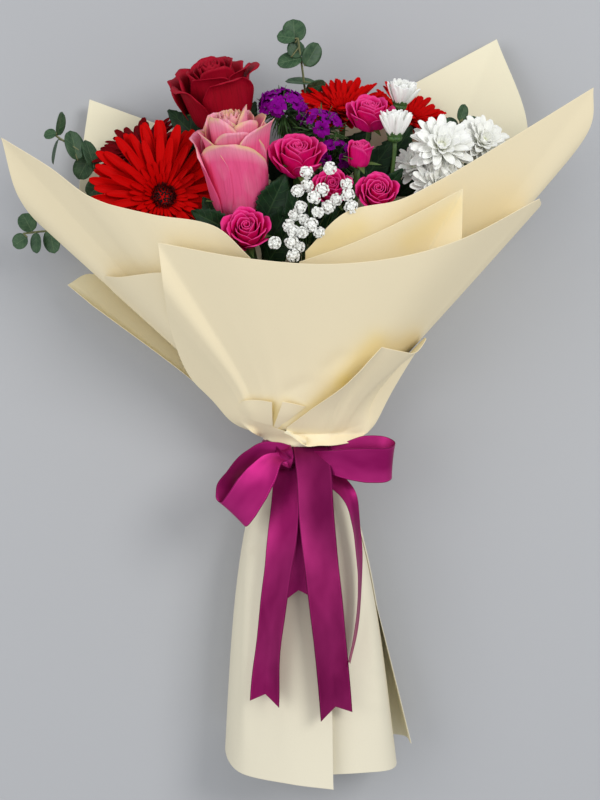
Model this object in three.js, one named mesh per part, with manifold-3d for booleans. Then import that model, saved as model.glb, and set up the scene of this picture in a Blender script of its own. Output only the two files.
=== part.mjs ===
// A mixed flower bouquet in cream wrapping paper, tied with a satin ribbon and laid down on its back.
// Millimetres. +Y runs from the tie to the blooms, +X to the right, and +Z up from the surface it lies on.
// The places below are counted from the tie: x and y from its centre, z from the surface.
import * as THREE from "three";
import { mergeVertices } from "three/addons/utils/BufferGeometryUtils.js";
import Module from "manifold-3d";

const wasm = await Module();
wasm.setup();

// ---------- driving dimensions ----------
const TIE_HEIGHT = 34; // the tie's centre above the surface
const PAPER = 0.8; // thickness of a paper sheet
const RIBBON = 0.8; // thickness of the ribbon
const RIBBON_WIDTH = 25;
const CLEARANCE = 0.35; // kept between any two pieces
const TIED = 12.5; // the ribbon holds the paper this far to either side of the tie
const WRAP_BELLY = 9; // how far the wrap swells between tie and rim
const WRAP_REACH = 240; // the distance from the tie over which it swells
const SKIRT_BELLY = 15;
const SKIRT_REACH = 232;
const SWELL_UPWARDS = 0.35; // share of the swelling that also goes up and down
const STEM_SLOT = 5.8; // spacing of the stems where they are tied
const CUT_END = -196; // where the stems are cut off

const COLOURS = {
  paper: { color: 0xece2c4, roughness: 0.75 },
  ribbon: { color: 0x8c1c62, roughness: 0.35 },
  twine: { color: 0xb79a6a, roughness: 0.9 },
  pinkRose: { color: 0xe87fa6, roughness: 0.6 },
  crimsonRose: { color: 0x8f0a22, roughness: 0.6 },
  sprayRose: { color: 0xd9267f, roughness: 0.6 },
  gerbera: { color: 0xc90d0d, roughness: 0.6 },
  darkGerbera: { color: 0x7d0913, roughness: 0.6 },
  eye: { color: 0x1c0c0c, roughness: 0.8 },
  daisy: { color: 0xf4f3ea, roughness: 0.6 },
  sweetWilliam: { color: 0x6d1290, roughness: 0.6 },
  babysBreath: { color: 0xf6f5ee, roughness: 0.7 },
  stem: { color: 0x4d6b34, roughness: 0.7 },
  eucalyptus: { color: 0x486b4f, roughness: 0.6 },
};

const bouquet = new THREE.Group();
const placed = []; // every solid so far, with its box, so that the next piece can be bent clear of it
const V = (x, y, z) => new THREE.Vector3(x, y, z);
const degrees = THREE.MathUtils.degToRad;
const mix = THREE.MathUtils.lerp;

// A seeded draw from 0 to 1.
let seed = 7;
function draw() {
  seed = (seed * 1664525 + 1013904223) % 4294967296;
  return seed / 4294967296;
}
const jitter = (amount) => (draw() * 2 - 1) * amount;

// ---------- solids ----------
function solidOf(geometry) {
  const bare = new THREE.BufferGeometry().setAttribute("position", geometry.getAttribute("position"));
  bare.setIndex(geometry.index);
  const merged = mergeVertices(bare, 1e-4);
  const mesh = new wasm.Mesh({
    numProp: 3,
    vertProperties: new Float32Array(merged.attributes.position.array),
    triVerts: new Uint32Array(merged.index.array),
  });
  return new wasm.Manifold(mesh);
}

function geometryOf(solid) {
  const mesh = solid.getMesh();
  const geometry = new THREE.BufferGeometry();
  geometry.setAttribute("position", new THREE.BufferAttribute(new Float32Array(mesh.vertProperties), 3));
  geometry.setIndex(new THREE.BufferAttribute(new Uint32Array(mesh.triVerts), 1));
  geometry.computeVertexNormals();
  return geometry;
}

// A thin closed blade from rows of points: rows run along it and each row runs across it.
function bladeGeometry(rows, thickness) {
  const along = rows.length;
  const across = rows[0].length;
  const kept = (k, count) => Math.min(Math.max(k, 0), count - 1);
  const at = (i, j) => rows[kept(i, along)][kept(j, across)];
  const upper = [];
  const lower = [];
  for (let i = 0; i < along; i++) {
    for (let j = 0; j < across; j++) {
      const sideways = at(i, j + 1).clone().sub(at(i, j - 1));
      const onward = at(i + 1, j).clone().sub(at(i - 1, j));
      const half = sideways.cross(onward).normalize().multiplyScalar(thickness / 2);
      upper.push(...at(i, j).clone().add(half).toArray());
      lower.push(...at(i, j).clone().sub(half).toArray());
    }
  }
  const under = along * across;
  const id = (i, j) => i * across + j;
  const index = [];
  for (let i = 0; i + 1 < along; i++) {
    for (let j = 0; j + 1 < across; j++) {
      const [a, b, c, d] = [id(i, j), id(i, j + 1), id(i + 1, j + 1), id(i + 1, j)];
      index.push(a, b, c, a, c, d);
      index.push(a + under, c + under, b + under, a + under, d + under, c + under);
    }
  }
  const border = [];
  for (let j = 0; j < across - 1; j++) border.push(id(0, j));
  for (let i = 0; i < along - 1; i++) border.push(id(i, across - 1));
  for (let j = across - 1; j > 0; j--) border.push(id(along - 1, j));
  for (let i = along - 1; i > 0; i--) border.push(id(i, 0));
  border.forEach((p, k) => {
    const q = border[(k + 1) % border.length];
    index.push(q, p, p + under, q, p + under, q + under);
  });
  const geometry = new THREE.BufferGeometry();
  geometry.setAttribute("position", new THREE.BufferAttribute(new Float32Array([...upper, ...lower]), 3));
  geometry.setIndex(index);
  return geometry;
}
const blade = (rows, thickness) => solidOf(bladeGeometry(rows, thickness));

// A rod through all its points, straight from each to the next.
class Rod extends THREE.CatmullRomCurve3 {
  getPointAt(u) {
    return this.getPoint(u);
  }
  getTangentAt(u) {
    return this.getTangent(u);
  }
}

function tube(points, radius, sides = 5) {
  const section = new THREE.Shape();
  for (let k = 0; k < sides; k++) {
    const turn = (2 * Math.PI * k) / sides;
    const [x, y] = [radius * Math.cos(turn), radius * Math.sin(turn)];
    if (k) section.lineTo(x, y);
    else section.moveTo(x, y);
  }
  const steps = points.length - 1;
  const extrudePath = new Rod(points);
  return solidOf(new THREE.ExtrudeGeometry(section, { steps, bevelEnabled: false, extrudePath }));
}

// The same line, to find points on it.
function lineOf(points) {
  const line = new THREE.CurvePath();
  for (let k = 1; k < points.length; k++) line.add(new THREE.LineCurve3(points[k - 1], points[k]));
  return line;
}

// A squashed ball in a bloom's frame.
function ball(frame, radius, squash = 1, detail = 1) {
  return solidOf(new THREE.IcosahedronGeometry(radius, detail).scale(1, 1, squash).applyMatrix4(frame));
}

// The frame of a bloom: its origin at a point, its z along an axis.
function frameAt(point, axis, roll = 0) {
  const turn = new THREE.Quaternion().setFromUnitVectors(V(0, 0, 1), axis.clone().normalize());
  const spin = new THREE.Quaternion().setFromAxisAngle(V(0, 0, 1), roll);
  return new THREE.Matrix4().compose(point, turn.multiply(spin), V(1, 1, 1));
}

function boxesMeet(a, b) {
  return [0, 1, 2].every((k) => a.min[k] <= b.max[k] && b.min[k] <= a.max[k]);
}

function isClear(solid, others = placed) {
  const box = solid.boundingBox();
  return !others.some((o) => boxesMeet(box, o.box) && solid.intersect(o.solid).volume() > 1e-5);
}

// The first of the given variations of a blade that stands clear of everything placed, or nothing.
function bentClear(rowsFor, variations, thickness, others = placed) {
  for (const variation of variations) {
    const rows = rowsFor(variation);
    if (isClear(blade(rows, thickness + 2 * CLEARANCE), others)) return blade(rows, thickness);
  }
  return null;
}

function largestBody(solid) {
  const bodies = solid.decompose();
  return bodies.sort((a, b) => b.volume() - a.volume())[0];
}

function add(name, solid, look) {
  const body = largestBody(solid);
  placed.push({ name, solid: body, box: body.boundingBox() });
  const mesh = new THREE.Mesh(geometryOf(body), new THREE.MeshStandardMaterial(COLOURS[look]));
  mesh.name = name;
  bouquet.add(mesh);
  return body;
}

const union = (solids) => wasm.Manifold.union(solids.filter(Boolean));

// ---------- wrapping paper ----------
// Angles round the tie are counted from the front, +Z, towards the right, +X.
function atTie(angle, radius, y) {
  return V(radius * Math.sin(angle), y, TIE_HEIGHT + radius * Math.cos(angle));
}
const angleOf = (point) => Math.atan2(point.x, point.z - TIE_HEIGHT);

// The wrap and the skirt swell outwards past the ribbon, more to the sides than up and down.
function swell(angle, y) {
  const upwards = y > 0;
  const reach = (Math.abs(y) - TIED) / ((upwards ? WRAP_REACH : SKIRT_REACH) - TIED);
  const share = Math.min(Math.max(reach, 0), 1) ** (upwards ? 1 : 0.6);
  const amount = (upwards ? WRAP_BELLY : SKIRT_BELLY) * Math.sin(Math.PI * share);
  return V(amount * Math.sin(angle), 0, amount * SWELL_UPWARDS * Math.cos(angle));
}

// A sheet is gathered at the tie and fanned out to its cut edges. It never sinks below its floor.
function sheet({ radius, start, edges, floor, rows = 3, columns = 1 }) {
  const rim = [];
  edges.forEach((edge, k) => {
    const curve = new THREE.CatmullRomCurve3(edge.map((p) => V(...p)), false, "centripetal");
    const points = curve.getSpacedPoints(columns * (edge.length - 1));
    rim.push(...(k ? points.slice(1) : points));
  });
  const past = Math.sign(start) * TIED;
  const grid = [rim.map((target) => atTie(angleOf(target), radius, start))];
  for (let i = 0; i <= rows; i++) {
    const row = rim.map((target) => {
      const angle = angleOf(target);
      const straight = atTie(angle, radius, past).lerp(target.clone().sub(swell(angle, target.y)), i / rows);
      const point = straight.add(swell(angle, straight.y));
      return point.setZ(Math.max(point.z, floor + PAPER / 2));
    });
    grid.push(row);
  }
  return blade(grid, PAPER);
}

const LAYER = 1.4; // paper thickness and the gap to the next sheet
const INNERMOST = 18.6; // radius of the innermost sheet at the tie
const layer = (n) => INNERMOST + n * LAYER;
const UPPER_START = 1.2; // the wrap and the skirt meet under the ribbon
const SKIRT_START = -1.2;

const SHEETS = {
  paper_back_left: {
    radius: layer(1), start: UPPER_START, floor: 4.4, columns: 2,
    edges: [
      [[34, 233, 4], [-6, 229, 3], [-54, 226, 4], [-114, 245, 7], [-158, 260, 13]],
      [[-158, 260, 13], [-162, 221, 22], [-163, 190, 32]],
    ],
  },
  paper_back_right: {
    radius: layer(-0.45), start: UPPER_START, floor: 5.8, columns: 2,
    edges: [
      [[-20, 224, 12], [1, 231, 11], [22, 240, 11], [73, 267, 9], [145, 305, 12]],
      [[145, 305, 12], [165, 238, 30], [158, 181, 42], [132, 140, 42]],
    ],
  },
  paper_wing_left: {
    radius: layer(2), start: UPPER_START, floor: 1.6,
    edges: [
      [
        [-34, 130, 146], [-57, 150, 150], [-100, 159, 142], [-141, 172, 128],
        [-171, 194, 115], [-207, 217, 98],
      ],
      [[-207, 217, 98], [-200, 180, 72], [-183, 158, 40], [-144, 140, 6], [-60, 112, 2]],
    ],
  },
  paper_wing_right: {
    radius: layer(2), start: UPPER_START, floor: 0,
    edges: [
      [[2, 134, 146], [28, 159, 150], [64, 168, 146], [91, 182, 138], [133, 208, 122], [200, 251, 100]],
      [[200, 251, 100], [203, 228, 78], [175, 188, 46], [133, 148, 4], [40, 112, -10]],
    ],
  },
  paper_middle: {
    radius: layer(3), start: UPPER_START, floor: 0, columns: 2,
    edges: [
      [[-2, 127, 149], [31, 138, 154], [64, 153, 153], [106, 176, 141]],
      [[106, 176, 141], [106, 141, 134]],
    ],
  },
  paper_front: {
    radius: layer(4.2), start: UPPER_START, floor: 0,
    edges: [
      [[-93, 111, 124], [-95, 140, 144]],
      [[-95, 140, 144], [-34, 128, 160], [18, 124, 166], [64, 129, 164], [101, 140, 158], [162, 172, 106]],
      [[162, 172, 106], [168, 160, 62]],
    ],
  },
  paper_low_left: {
    radius: layer(4), start: UPPER_START, floor: 0, columns: 2,
    edges: [[[-150, 104, 54], [-170, 120, 40]], [[-170, 120, 40], [-156, 130, 14], [-125, 118, 1]]],
  },
  paper_fold: {
    radius: layer(5.3), start: UPPER_START, floor: 0, columns: 2,
    edges: [[[53, 72, 131], [79, 71, 117], [103, 78, 81], [107, 72, 36]]],
  },
  skirt_right: {
    radius: layer(1.6), start: SKIRT_START, floor: 2,
    edges: [[[10, -228, 72], [41, -227, 70], [63, -227, 60], [68, -226, 34], [56, -221, 8]]],
  },
  skirt_back: {
    radius: layer(2.8), start: SKIRT_START, floor: 0,
    edges: [[[81, -212, 44], [75, -213, 12], [54, -215, -3], [-10, -218, -4], [-36, -210, 6]]],
  },
  skirt_left: {
    radius: layer(4), start: SKIRT_START, floor: 0,
    edges: [[[-44, -207, 1], [-56, -216, 30], [-46, -228, 60], [-9, -233, 77], [22, -236, 81]]],
  },
};
for (const [name, shape] of Object.entries(SHEETS)) add(name, sheet(shape), "paper");

// ---------- ribbon ----------
const BAND_RADIUS = layer(5.3) + 1.4;
const BAND_HALF = 11;

function ribbonBand() {
  const [inner, outer] = [BAND_RADIUS, BAND_RADIUS + RIBBON];
  const profile = [[inner, -BAND_HALF], [outer, -BAND_HALF], [outer, BAND_HALF], [inner, BAND_HALF]];
  const section = [...profile, profile[0]].map((p) => new THREE.Vector2(...p));
  return solidOf(new THREE.LatheGeometry(section, 20).translate(0, 0, TIE_HEIGHT));
}

// A strip of ribbon: its middle line, and the direction of its width along that line.
function strip({ line, widths, width = RIBBON_WIDTH, steps = 8, notch = 0 }) {
  const path = new THREE.CatmullRomCurve3(line.map((p) => V(...p)), false, "centripetal");
  const wide = new THREE.CatmullRomCurve3(widths.map((p) => V(...p)), false, "centripetal");
  const rows = [];
  for (let i = 0; i <= steps; i++) {
    const middle = path.getPointAt(i / steps);
    const side = wide.getPoint(i / steps).normalize().multiplyScalar(width / 2);
    const back = i === steps ? path.getTangentAt(1).multiplyScalar(-notch) : V(0, 0, 0);
    rows.push([middle.clone().sub(side), middle.clone().add(back), middle.clone().add(side)]);
  }
  return blade(rows, RIBBON);
}

const STRIPS = {
  ribbon_tail_right: {
    line: [[9, -3, 62.8], [9.5, -16, 67], [10, -48, 78], [15, -105, 84], [21, -147, 85], [24, -186, 86]],
    widths: [[1, 0.1, -0.3], [1, 0.1, -0.12], [1, 0.15, -0.1]],
    notch: 5,
  },
  ribbon_tail_left: {
    line: [[-18, -19, 64], [-20, -40, 75], [-25, -80, 81], [-29, -125, 82], [-33, -174, 82]],
    widths: [[1, 0.1, 0.45], [1, 0.12, 0.25], [1, 0.1, 0.25]],
    notch: 5, width: 23,
  },
  ribbon_tail_side: {
    line: [[36, -21, 49], [43, -42, 60], [49, -70, 64], [51, -107, 65], [46, -136, 70]],
    widths: [[0.3, 0.2, -1], [0.35, 0, -1], [0.5, 0, -1]],
    notch: 4, width: 14,
  },
  ribbon_loop_right: {
    line: [[23, -8, 62], [40, -9, 73], [61, -9, 75], [66, -8, 69], [60, -6, 62], [44, -5, 60], [33, -6, 55]],
    widths: [[-0.15, 1, 0.1], [0.05, 1, 0], [0.1, 1, 0.1], [0.1, 1, 0.1], [0.05, 1, 0]],
    width: 24, steps: 11,
  },
  ribbon_loop_left: {
    line: [
      [-20, -1, 62], [-34, -8, 76], [-50, -28, 82], [-50, -42, 80], [-42, -42, 70], [-37, -24, 63],
      [-31, -2, 53],
    ],
    widths: [[0.2, 1, 0.2], [0.75, 0.7, 0.3], [0.8, -0.5, 0.3], [0.6, -0.8, 0], [0.6, 0.8, -0.5]],
    width: 18, steps: 11,
  },
};

// The knot is a short fold of ribbon that arches over the band, with the shortest tail hanging from it.
const KNOT = {
  line: [[-13, 6, 63.5], [-10, 4, 69], [-9, -3, 72], [-10, -10, 70], [-11, -13, 64]],
  widths: [[1, 0, 0.1], [1, 0.1, -0.1]],
  width: 11, steps: 5,
};
const SHORT_TAIL = {
  line: [[-11, -9, 70], [-9, -24, 82], [-7, -60, 88.5], [-8, -104, 89.5]],
  widths: [[1, 0, 0.1], [1, 0, 0]],
  width: 16, notch: 5,
};

add("ribbon_band", ribbonBand(), "ribbon");
for (const [name, shape] of Object.entries(STRIPS)) add(name, strip(shape), "ribbon");
add("ribbon_knot", union([strip(KNOT), strip(SHORT_TAIL)]), "ribbon");

// ---------- petals ----------
const PETAL = 0.7; // thickness of a petal or leaf
// How a petal may be bent to stand clear of its neighbours: a lift in degrees and a share of its size.
const BENDS = [
  [0, 1], [10, 1], [-10, 1], [20, 1], [-20, 1], [0, 0.85], [14, 0.85], [-14, 0.85],
  [30, 0.85], [0, 0.7], [22, 0.7], [-22, 0.7], [40, 0.75],
];

function rowsOf({ shape, along, across }, frame, [lift, size]) {
  const rows = [];
  for (let i = 0; i <= along; i++) {
    const row = [];
    for (let j = 0; j <= across; j++) {
      row.push(shape(i / along, (2 * j) / across - 1, degrees(lift), size).applyMatrix4(frame));
    }
    rows.push(row);
  }
  return rows;
}

function grown(petals, frame, others = placed) {
  return petals.map((petal) => bentClear((bend) => rowsOf(petal, frame, bend), BENDS, PETAL, others));
}

// A strap-shaped petal of a daisy or gerbera, in its bloom's frame, with its widths at base, middle and tip.
function strapPetal({ turn, from, reach, widths, rise, droop, base }) {
  const [out, side] = [V(Math.cos(turn), Math.sin(turn), 0), V(-Math.sin(turn), Math.cos(turn), 0)];
  const [atBase, atMiddle, atTip] = widths;
  return (v, u, lift, size) => {
    const length = (reach - from) * size * (v + 0.07 * v ** 3 * (1 - u * u));
    const pitch = rise + lift - (droop * v) / 2;
    const half = (v < 0.5 ? mix(atBase, atMiddle, 2 * v) : mix(atMiddle, atTip, 2 * v - 1)) / 2;
    return out.clone().multiplyScalar(from + length * Math.cos(pitch))
      .addScaledVector(side, half * u)
      .add(V(0, 0, base + length * Math.sin(pitch)));
  };
}

// A cupped petal of a rose: it leaves the core, bellies out, stands up and may roll its rim outwards.
// Each is tucked under its neighbour on one side and lies over it on the other.
function cupPetal({ turn, radius, height, spread, curl, tuck, from }) {
  return (v, u, lift, size) => {
    const belly = Math.sin((v * Math.PI) / 2) ** 0.75;
    const bulge = from + (radius - from) * size * (1 - lift) * belly + curl * v ** 4;
    const reach = bulge + tuck * u * (0.4 + 0.6 * v);
    const angle = turn + spread * u * (0.5 + 0.5 * Math.sin(Math.PI * Math.min(v, 0.7)));
    const level = height * size * (v ** 1.15 - 0.2 * u * u * v * v) - 0.12 * curl * v ** 4;
    return V(reach * Math.cos(angle), reach * Math.sin(angle), level);
  };
}

// The heart of a rose: one petal rolled into a spiral.
function spiralPetal({ radius, height, turns, start }) {
  return (v, u, lift, size) => {
    const share = (u + 1) / 2;
    const reach = radius * size * mix(0.35, 1, share) * (0.85 + 0.15 * Math.sin(Math.PI * v));
    const angle = start + 2 * Math.PI * turns * share;
    return V(reach * Math.cos(angle), reach * Math.sin(angle), height * size * v * mix(1, 0.93, share));
  };
}

// ---------- blooms ----------
// Where each bloom stands: its middle, the way it faces, and how far it is turned about that.
const BLOOMS = {
  rose_pink: { at: [-46, 197, 112], facing: [-0.42, 0.72, 0.55], size: 1.06 },
  rose_crimson: { at: [-60, 250, 78], facing: [-0.2, 0.86, 0.46], size: 0.94, roll: 0.6 },
  gerbera_left: { at: [-96, 178, 100], facing: [0.3, 0.05, 0.95], size: 51, petals: 16 },
  gerbera_dark: { at: [-112, 218, 58], facing: [-0.25, 0.7, 0.62], size: 42, petals: 10 },
  gerbera_top: { at: [29, 243, 56], facing: [0, 0.75, 0.66], size: 36, petals: 10 },
  gerbera_right: { at: [78, 240, 44], facing: [0.4, 0.66, 0.6], size: 34, petals: 10 },
  spray_rose_a: { at: [-3, 203, 118], facing: [0.1, 0.5, 0.85], size: 0.6 },
  spray_rose_b: { at: [47, 236, 92], facing: [0.05, 0.8, 0.6], size: 0.52 },
  spray_rose_c: { at: [40, 204, 116], facing: [0.1, 0.85, 0.5], size: 0.42 },
  spray_rose_d: { at: [49, 176, 138], facing: [0.05, 0.35, 0.94], size: 0.48 },
  spray_rose_e: { at: [14, 181, 132], facing: [0, 0.3, 0.95], size: 0.5 },
  spray_rose_f: { at: [-38, 152, 138], facing: [0, 0.35, 0.94], size: 0.52 },
  mum_a: { at: [66, 246, 84], facing: [0.1, 0.9, 0.4], size: 13 },
  mum_b: { at: [63, 222, 108], facing: [0, 0.95, 0.25], size: 15 },
  mum_c: { at: [93, 208, 110], facing: [0.15, 0.3, 0.94], size: 22 },
  mum_d: { at: [122, 217, 90], facing: [0.45, 0.4, 0.8], size: 19 },
  mum_e: { at: [77, 198, 94], facing: [-0.3, 0.6, 0.74], size: 16 },
  mum_f: { at: [90, 180, 116], facing: [0.2, 0.1, 0.97], size: 18 },
  sweet_william_a: { at: [-17, 243, 84], facing: [-0.2, 0.8, 0.56], size: 15 },
  sweet_william_b: { at: [16, 222, 96], facing: [0.1, 0.75, 0.65], size: 14 },
  sweet_william_c: { at: [24, 199, 98], facing: [0.2, 0.5, 0.84], size: 11 },
};
for (const bloom of Object.values(BLOOMS)) {
  bloom.middle = V(...bloom.at);
  bloom.axis = V(...bloom.facing).normalize();
}

const ROSE_HEIGHT = 46; // of a full rose, from its core to its highest petals
// A rose is a rolled heart inside rings of petals, all standing on a low cup.
// Each ring starts outside the last.
const ROSE = {
  heart: { radius: 9, height: 46, turns: 1.3, start: 0.4 },
  rings: [
    { count: 3, from: 9.2, radius: 15, height: 46, spread: 1.2, tuck: 2, curl: 1 },
    { count: 4, from: 11, radius: 21.5, height: 43, spread: 0.9, tuck: 2.3, curl: 4 },
    { count: 4, from: 12.8, radius: 28, height: 36, spread: 0.92, tuck: 2.5, curl: 9 },
  ],
  cup: 21.5,
  fine: { heart: 8, along: 3, across: 2 },
};
const SPRAY_ROSE = {
  heart: { radius: 9.5, height: 37, turns: 1.1, start: 1 },
  rings: [
    { count: 3, from: 11, radius: 20, height: 38, spread: 1.12, tuck: 3.4, curl: 3 },
    { count: 4, from: 14, radius: 29, height: 32, spread: 0.84, tuck: 3.6, curl: 8 },
  ],
  cup: 24,
  fine: { heart: 6, along: 2, across: 2 },
};

function rosePetals({ heart, rings, fine }, size) {
  const rolled = spiralPetal({ ...heart, radius: heart.radius * size, height: heart.height * size });
  const petals = [{ shape: rolled, along: fine.along - 1, across: fine.heart }];
  rings.forEach((ring, k) => {
    for (let n = 0; n < ring.count; n++) {
      const shape = cupPetal({
        turn: (2 * Math.PI * n) / ring.count + k * 0.9 + jitter(0.05), spread: ring.spread,
        from: ring.from * size, radius: ring.radius * size, height: ring.height * size * (1 + jitter(0.04)),
        curl: ring.curl * size, tuck: ring.tuck * size,
      });
      petals.push({ shape, along: fine.along, across: fine.across });
    }
  });
  return petals;
}

function rose(name, kind, look) {
  const { middle, axis, size, roll = 0 } = BLOOMS[name];
  const frame = frameAt(middle.clone().addScaledVector(axis, (-ROSE_HEIGHT * size) / 2), axis, roll);
  const cup = new THREE.CylinderGeometry(kind.cup * size, kind.cup * 0.25 * size, 9 * size, 6);
  cup.rotateX(Math.PI / 2).translate(0, 0, -3 * size).applyMatrix4(frame);
  add(name, union([solidOf(cup), ...grown(rosePetals(kind, size), frame)]), look);
}

// Petals of a gerbera: long ones, by turns above and below their neighbours, and a shorter ring over them.
function gerberaPetals(size, count, along) {
  const petals = [];
  for (let n = 0; n < count; n++) {
    const above = n % 2;
    const shape = strapPetal({
      turn: (2 * Math.PI * (n + jitter(0.1))) / count, from: 0.16 * size, reach: size * (1 + jitter(0.04)),
      widths: [0.85, 5.2, 3.9].map((w) => (w * size) / count), rise: degrees(9 + 7 * above + jitter(2)),
      droop: degrees(14), base: above ? -1.4 : -2.7,
    });
    petals.push({ shape, along, across: 1 });
  }
  for (let n = 0; n < count / 2; n++) {
    const shape = strapPetal({
      turn: (4 * Math.PI * (n + 0.25 + jitter(0.08))) / count, from: 0.14 * size, reach: 0.66 * size,
      widths: [1, 4.4, 3].map((w) => (w * size) / count), rise: degrees(33 + jitter(4)), droop: degrees(22),
      base: -0.1,
    });
    petals.push({ shape, along: 1, across: 1 });
  }
  return petals;
}

// A many-sided heart, with the middle of a side facing each petal.
function prism(sides, top, bottom, height) {
  const upright = new THREE.CylinderGeometry(top, bottom, height, sides).rotateX(Math.PI / 2);
  return upright.rotateZ(Math.PI / sides + Math.PI / 2);
}

const EYE = 0.19; // radius of a gerbera's eye, as a share of the bloom's

function gerbera(name, look, withEye) {
  const { middle, axis, size, petals } = BLOOMS[name];
  const frame = frameAt(middle, axis);
  const heart = prism(petals, 0.2 * size, 0.17 * size, 5).translate(0, 0, -1.9).applyMatrix4(frame);
  if (withEye) add(name + "_eye", gerberaEye(frame, EYE * size), "eye");
  add(name, union([solidOf(heart), ...grown(gerberaPetals(size, petals, withEye ? 2 : 1), frame)]), look);
}

// The eye: a low dome with a ring of short tufts round it.
function gerberaEye(frame, radius) {
  const raised = new THREE.Matrix4().makeTranslation(0, 0, 1 + radius * 0.3);
  const parts = [ball(frame.clone().multiply(raised), radius * 0.75, 0.4, 0)];
  for (let n = 0; n < 6; n++) {
    const tuft = new THREE.ConeGeometry(radius * 0.24, radius * 0.6, 3).rotateX(Math.PI / 2 - 0.4);
    tuft.translate(0, -radius * 0.66, 1.3 + radius * 0.3).rotateZ((2 * Math.PI * n) / 6).applyMatrix4(frame);
    parts.push(solidOf(tuft));
  }
  return union(parts);
}

// A spray chrysanthemum: spoon-shaped petals in cupped rings round a low heart.
const MUM_RINGS = [
  { count: 6, rise: 14, reach: 1, base: -0.9, width: 0.84 },
  { count: 3, rise: 48, reach: 0.86, base: 0.4, width: 0.66 },
];

function mum(name) {
  const { middle, axis, size } = BLOOMS[name];
  const frame = frameAt(middle, axis, draw() * 2);
  const petals = [];
  MUM_RINGS.forEach((ring, k) => {
    for (let n = 0; n < ring.count; n++) {
      const shape = strapPetal({
        turn: (2 * Math.PI * (n + k / 2)) / ring.count + jitter(0.05), from: 0.2 * size,
        reach: size * ring.reach, widths: [0.2, 1, 0.92].map((w) => w * size * ring.width),
        rise: degrees(ring.rise + (k ? 0 : 9 * (n % 2)) + jitter(2)), droop: degrees(-24),
        base: ring.base - (k ? 0 : 1.1 * ((n + 1) % 2)),
      });
      petals.push({ shape, along: k || size < 17 ? 1 : 2, across: 1 });
    }
  });
  const heart = prism(MUM_RINGS[0].count, 0.28 * size, 0.24 * size, 3.6);
  heart.translate(0, 0, -1).applyMatrix4(frame);
  add(name, union([solidOf(heart), ...grown(petals, frame)]), "daisy");
}

// A floret of sweet william: a funnel whose rim has five lobes.
const LOBES = 5;

function floret(frame, size, depth) {
  const points = [[0, 0, -depth], [0, 0, -0.22 * size]];
  const rim = 2 * LOBES;
  for (let n = 0; n < rim; n++) {
    const reach = size * (n % 2 ? 1 : 0.5);
    const turn = (2 * Math.PI * n) / rim;
    points.push([reach * Math.cos(turn), reach * Math.sin(turn), n % 2 ? 0.12 * size : 0]);
  }
  const index = [];
  for (let n = 0; n < rim; n++) {
    const [here, next] = [2 + n, 2 + ((n + 1) % rim)];
    index.push(0, next, here, 1, here, next);
  }
  const geometry = new THREE.BufferGeometry();
  geometry.setAttribute("position", new THREE.BufferAttribute(new Float32Array(points.flat()), 3));
  geometry.setIndex(index);
  return solidOf(geometry.applyMatrix4(frame));
}

const FLORETS = [{ count: 1, away: 0 }, { count: 5, away: 52 }, { count: 3, away: 98 }];

const FLORET = 0.46; // radius of a floret, as a share of the head's

function sweetWilliam(name) {
  const { middle, axis, size } = BLOOMS[name];
  const frame = frameAt(middle.clone().addScaledVector(axis, -size * 0.6), axis, draw());
  const parts = [ball(frame, size * 0.42, 1, 0)];
  FLORETS.forEach(({ count, away }, ring) => {
    for (let n = 0; n < count; n++) {
      const place = new THREE.Matrix4().makeRotationZ((2 * Math.PI * (n + ring / 2)) / count);
      place.multiply(new THREE.Matrix4().makeRotationY(degrees(away)));
      place.multiply(new THREE.Matrix4().makeTranslation(0, 0, size)).premultiply(frame);
      if (!isClear(floret(place, size * FLORET + CLEARANCE, size * 0.7))) continue;
      parts.push(floret(place, size * FLORET, size * 0.7));
    }
  });
  add(name, union(parts), "sweetWilliam");
}

// ---------- stems ----------
// Where each stem is tied, right and up from the middle of the tie, in slots, and the blooms it carries.
const STEMS = {
  stem_rose_pink: { slot: [-0.5, 0.9], heads: ["rose_pink"], radius: 2.2 },
  stem_rose_crimson: { slot: [-1, 0], heads: ["rose_crimson"], radius: 2.2 },
  stem_gerbera_left: { slot: [-1.5, 0.9], heads: ["gerbera_left"], radius: 2.2 },
  stem_gerbera_dark: { slot: [-2, 0], heads: ["gerbera_dark"], radius: 2.2 },
  stem_gerbera_top: { slot: [0.5, -0.9], heads: ["gerbera_top"], radius: 2.2 },
  stem_gerbera_right: { slot: [1.5, -0.9], heads: ["gerbera_right"], radius: 2.2 },
  stem_spray_rose_low: { slot: [-1, 1.8], heads: ["spray_rose_f"], radius: 2 },
  stem_spray_rose_left: { slot: [0.5, 0.9], heads: ["spray_rose_a", "spray_rose_e"], radius: 2 },
  stem_spray_rose_right: {
    slot: [1, 1.8], heads: ["spray_rose_c", "spray_rose_d", "spray_rose_b"], radius: 2,
  },
  stem_mum_front: { slot: [1.5, 0.9], heads: ["mum_c", "mum_f", "mum_d"], radius: 1.8 },
  stem_mum_back: { slot: [2, 0], heads: ["mum_e", "mum_b", "mum_a"], radius: 1.8 },
  stem_sweet_william_left: { slot: [0, 0], heads: ["sweet_william_a"], radius: 1.8 },
  stem_sweet_william_right: { slot: [1, 0], heads: ["sweet_william_b", "sweet_william_c"], radius: 1.8 },
};
const SPRAY_SLOT = [0, 1.8]; // of the baby's breath
// From a bloom's middle back to the end of its stem, and how large a ball keeps other stems out of it.
const KINDS = {
  rose: { depth: (size) => 30.5 * size + 0.5, core: 15 },
  spray: { depth: (size) => 30.5 * size + 0.5, core: 17 },
  gerbera: { depth: () => 5, core: 0.16 },
  mum: { depth: () => 3.4, core: 0.4 },
  sweet: { depth: (size) => 1.02 * size + 0.5, core: 0.7 },
};
const kindOf = (name) => KINDS[name.split("_")[0]];

const tieAt = ([x, z], y) => V(x * STEM_SLOT, y, TIE_HEIGHT + z * STEM_SLOT);
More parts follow.
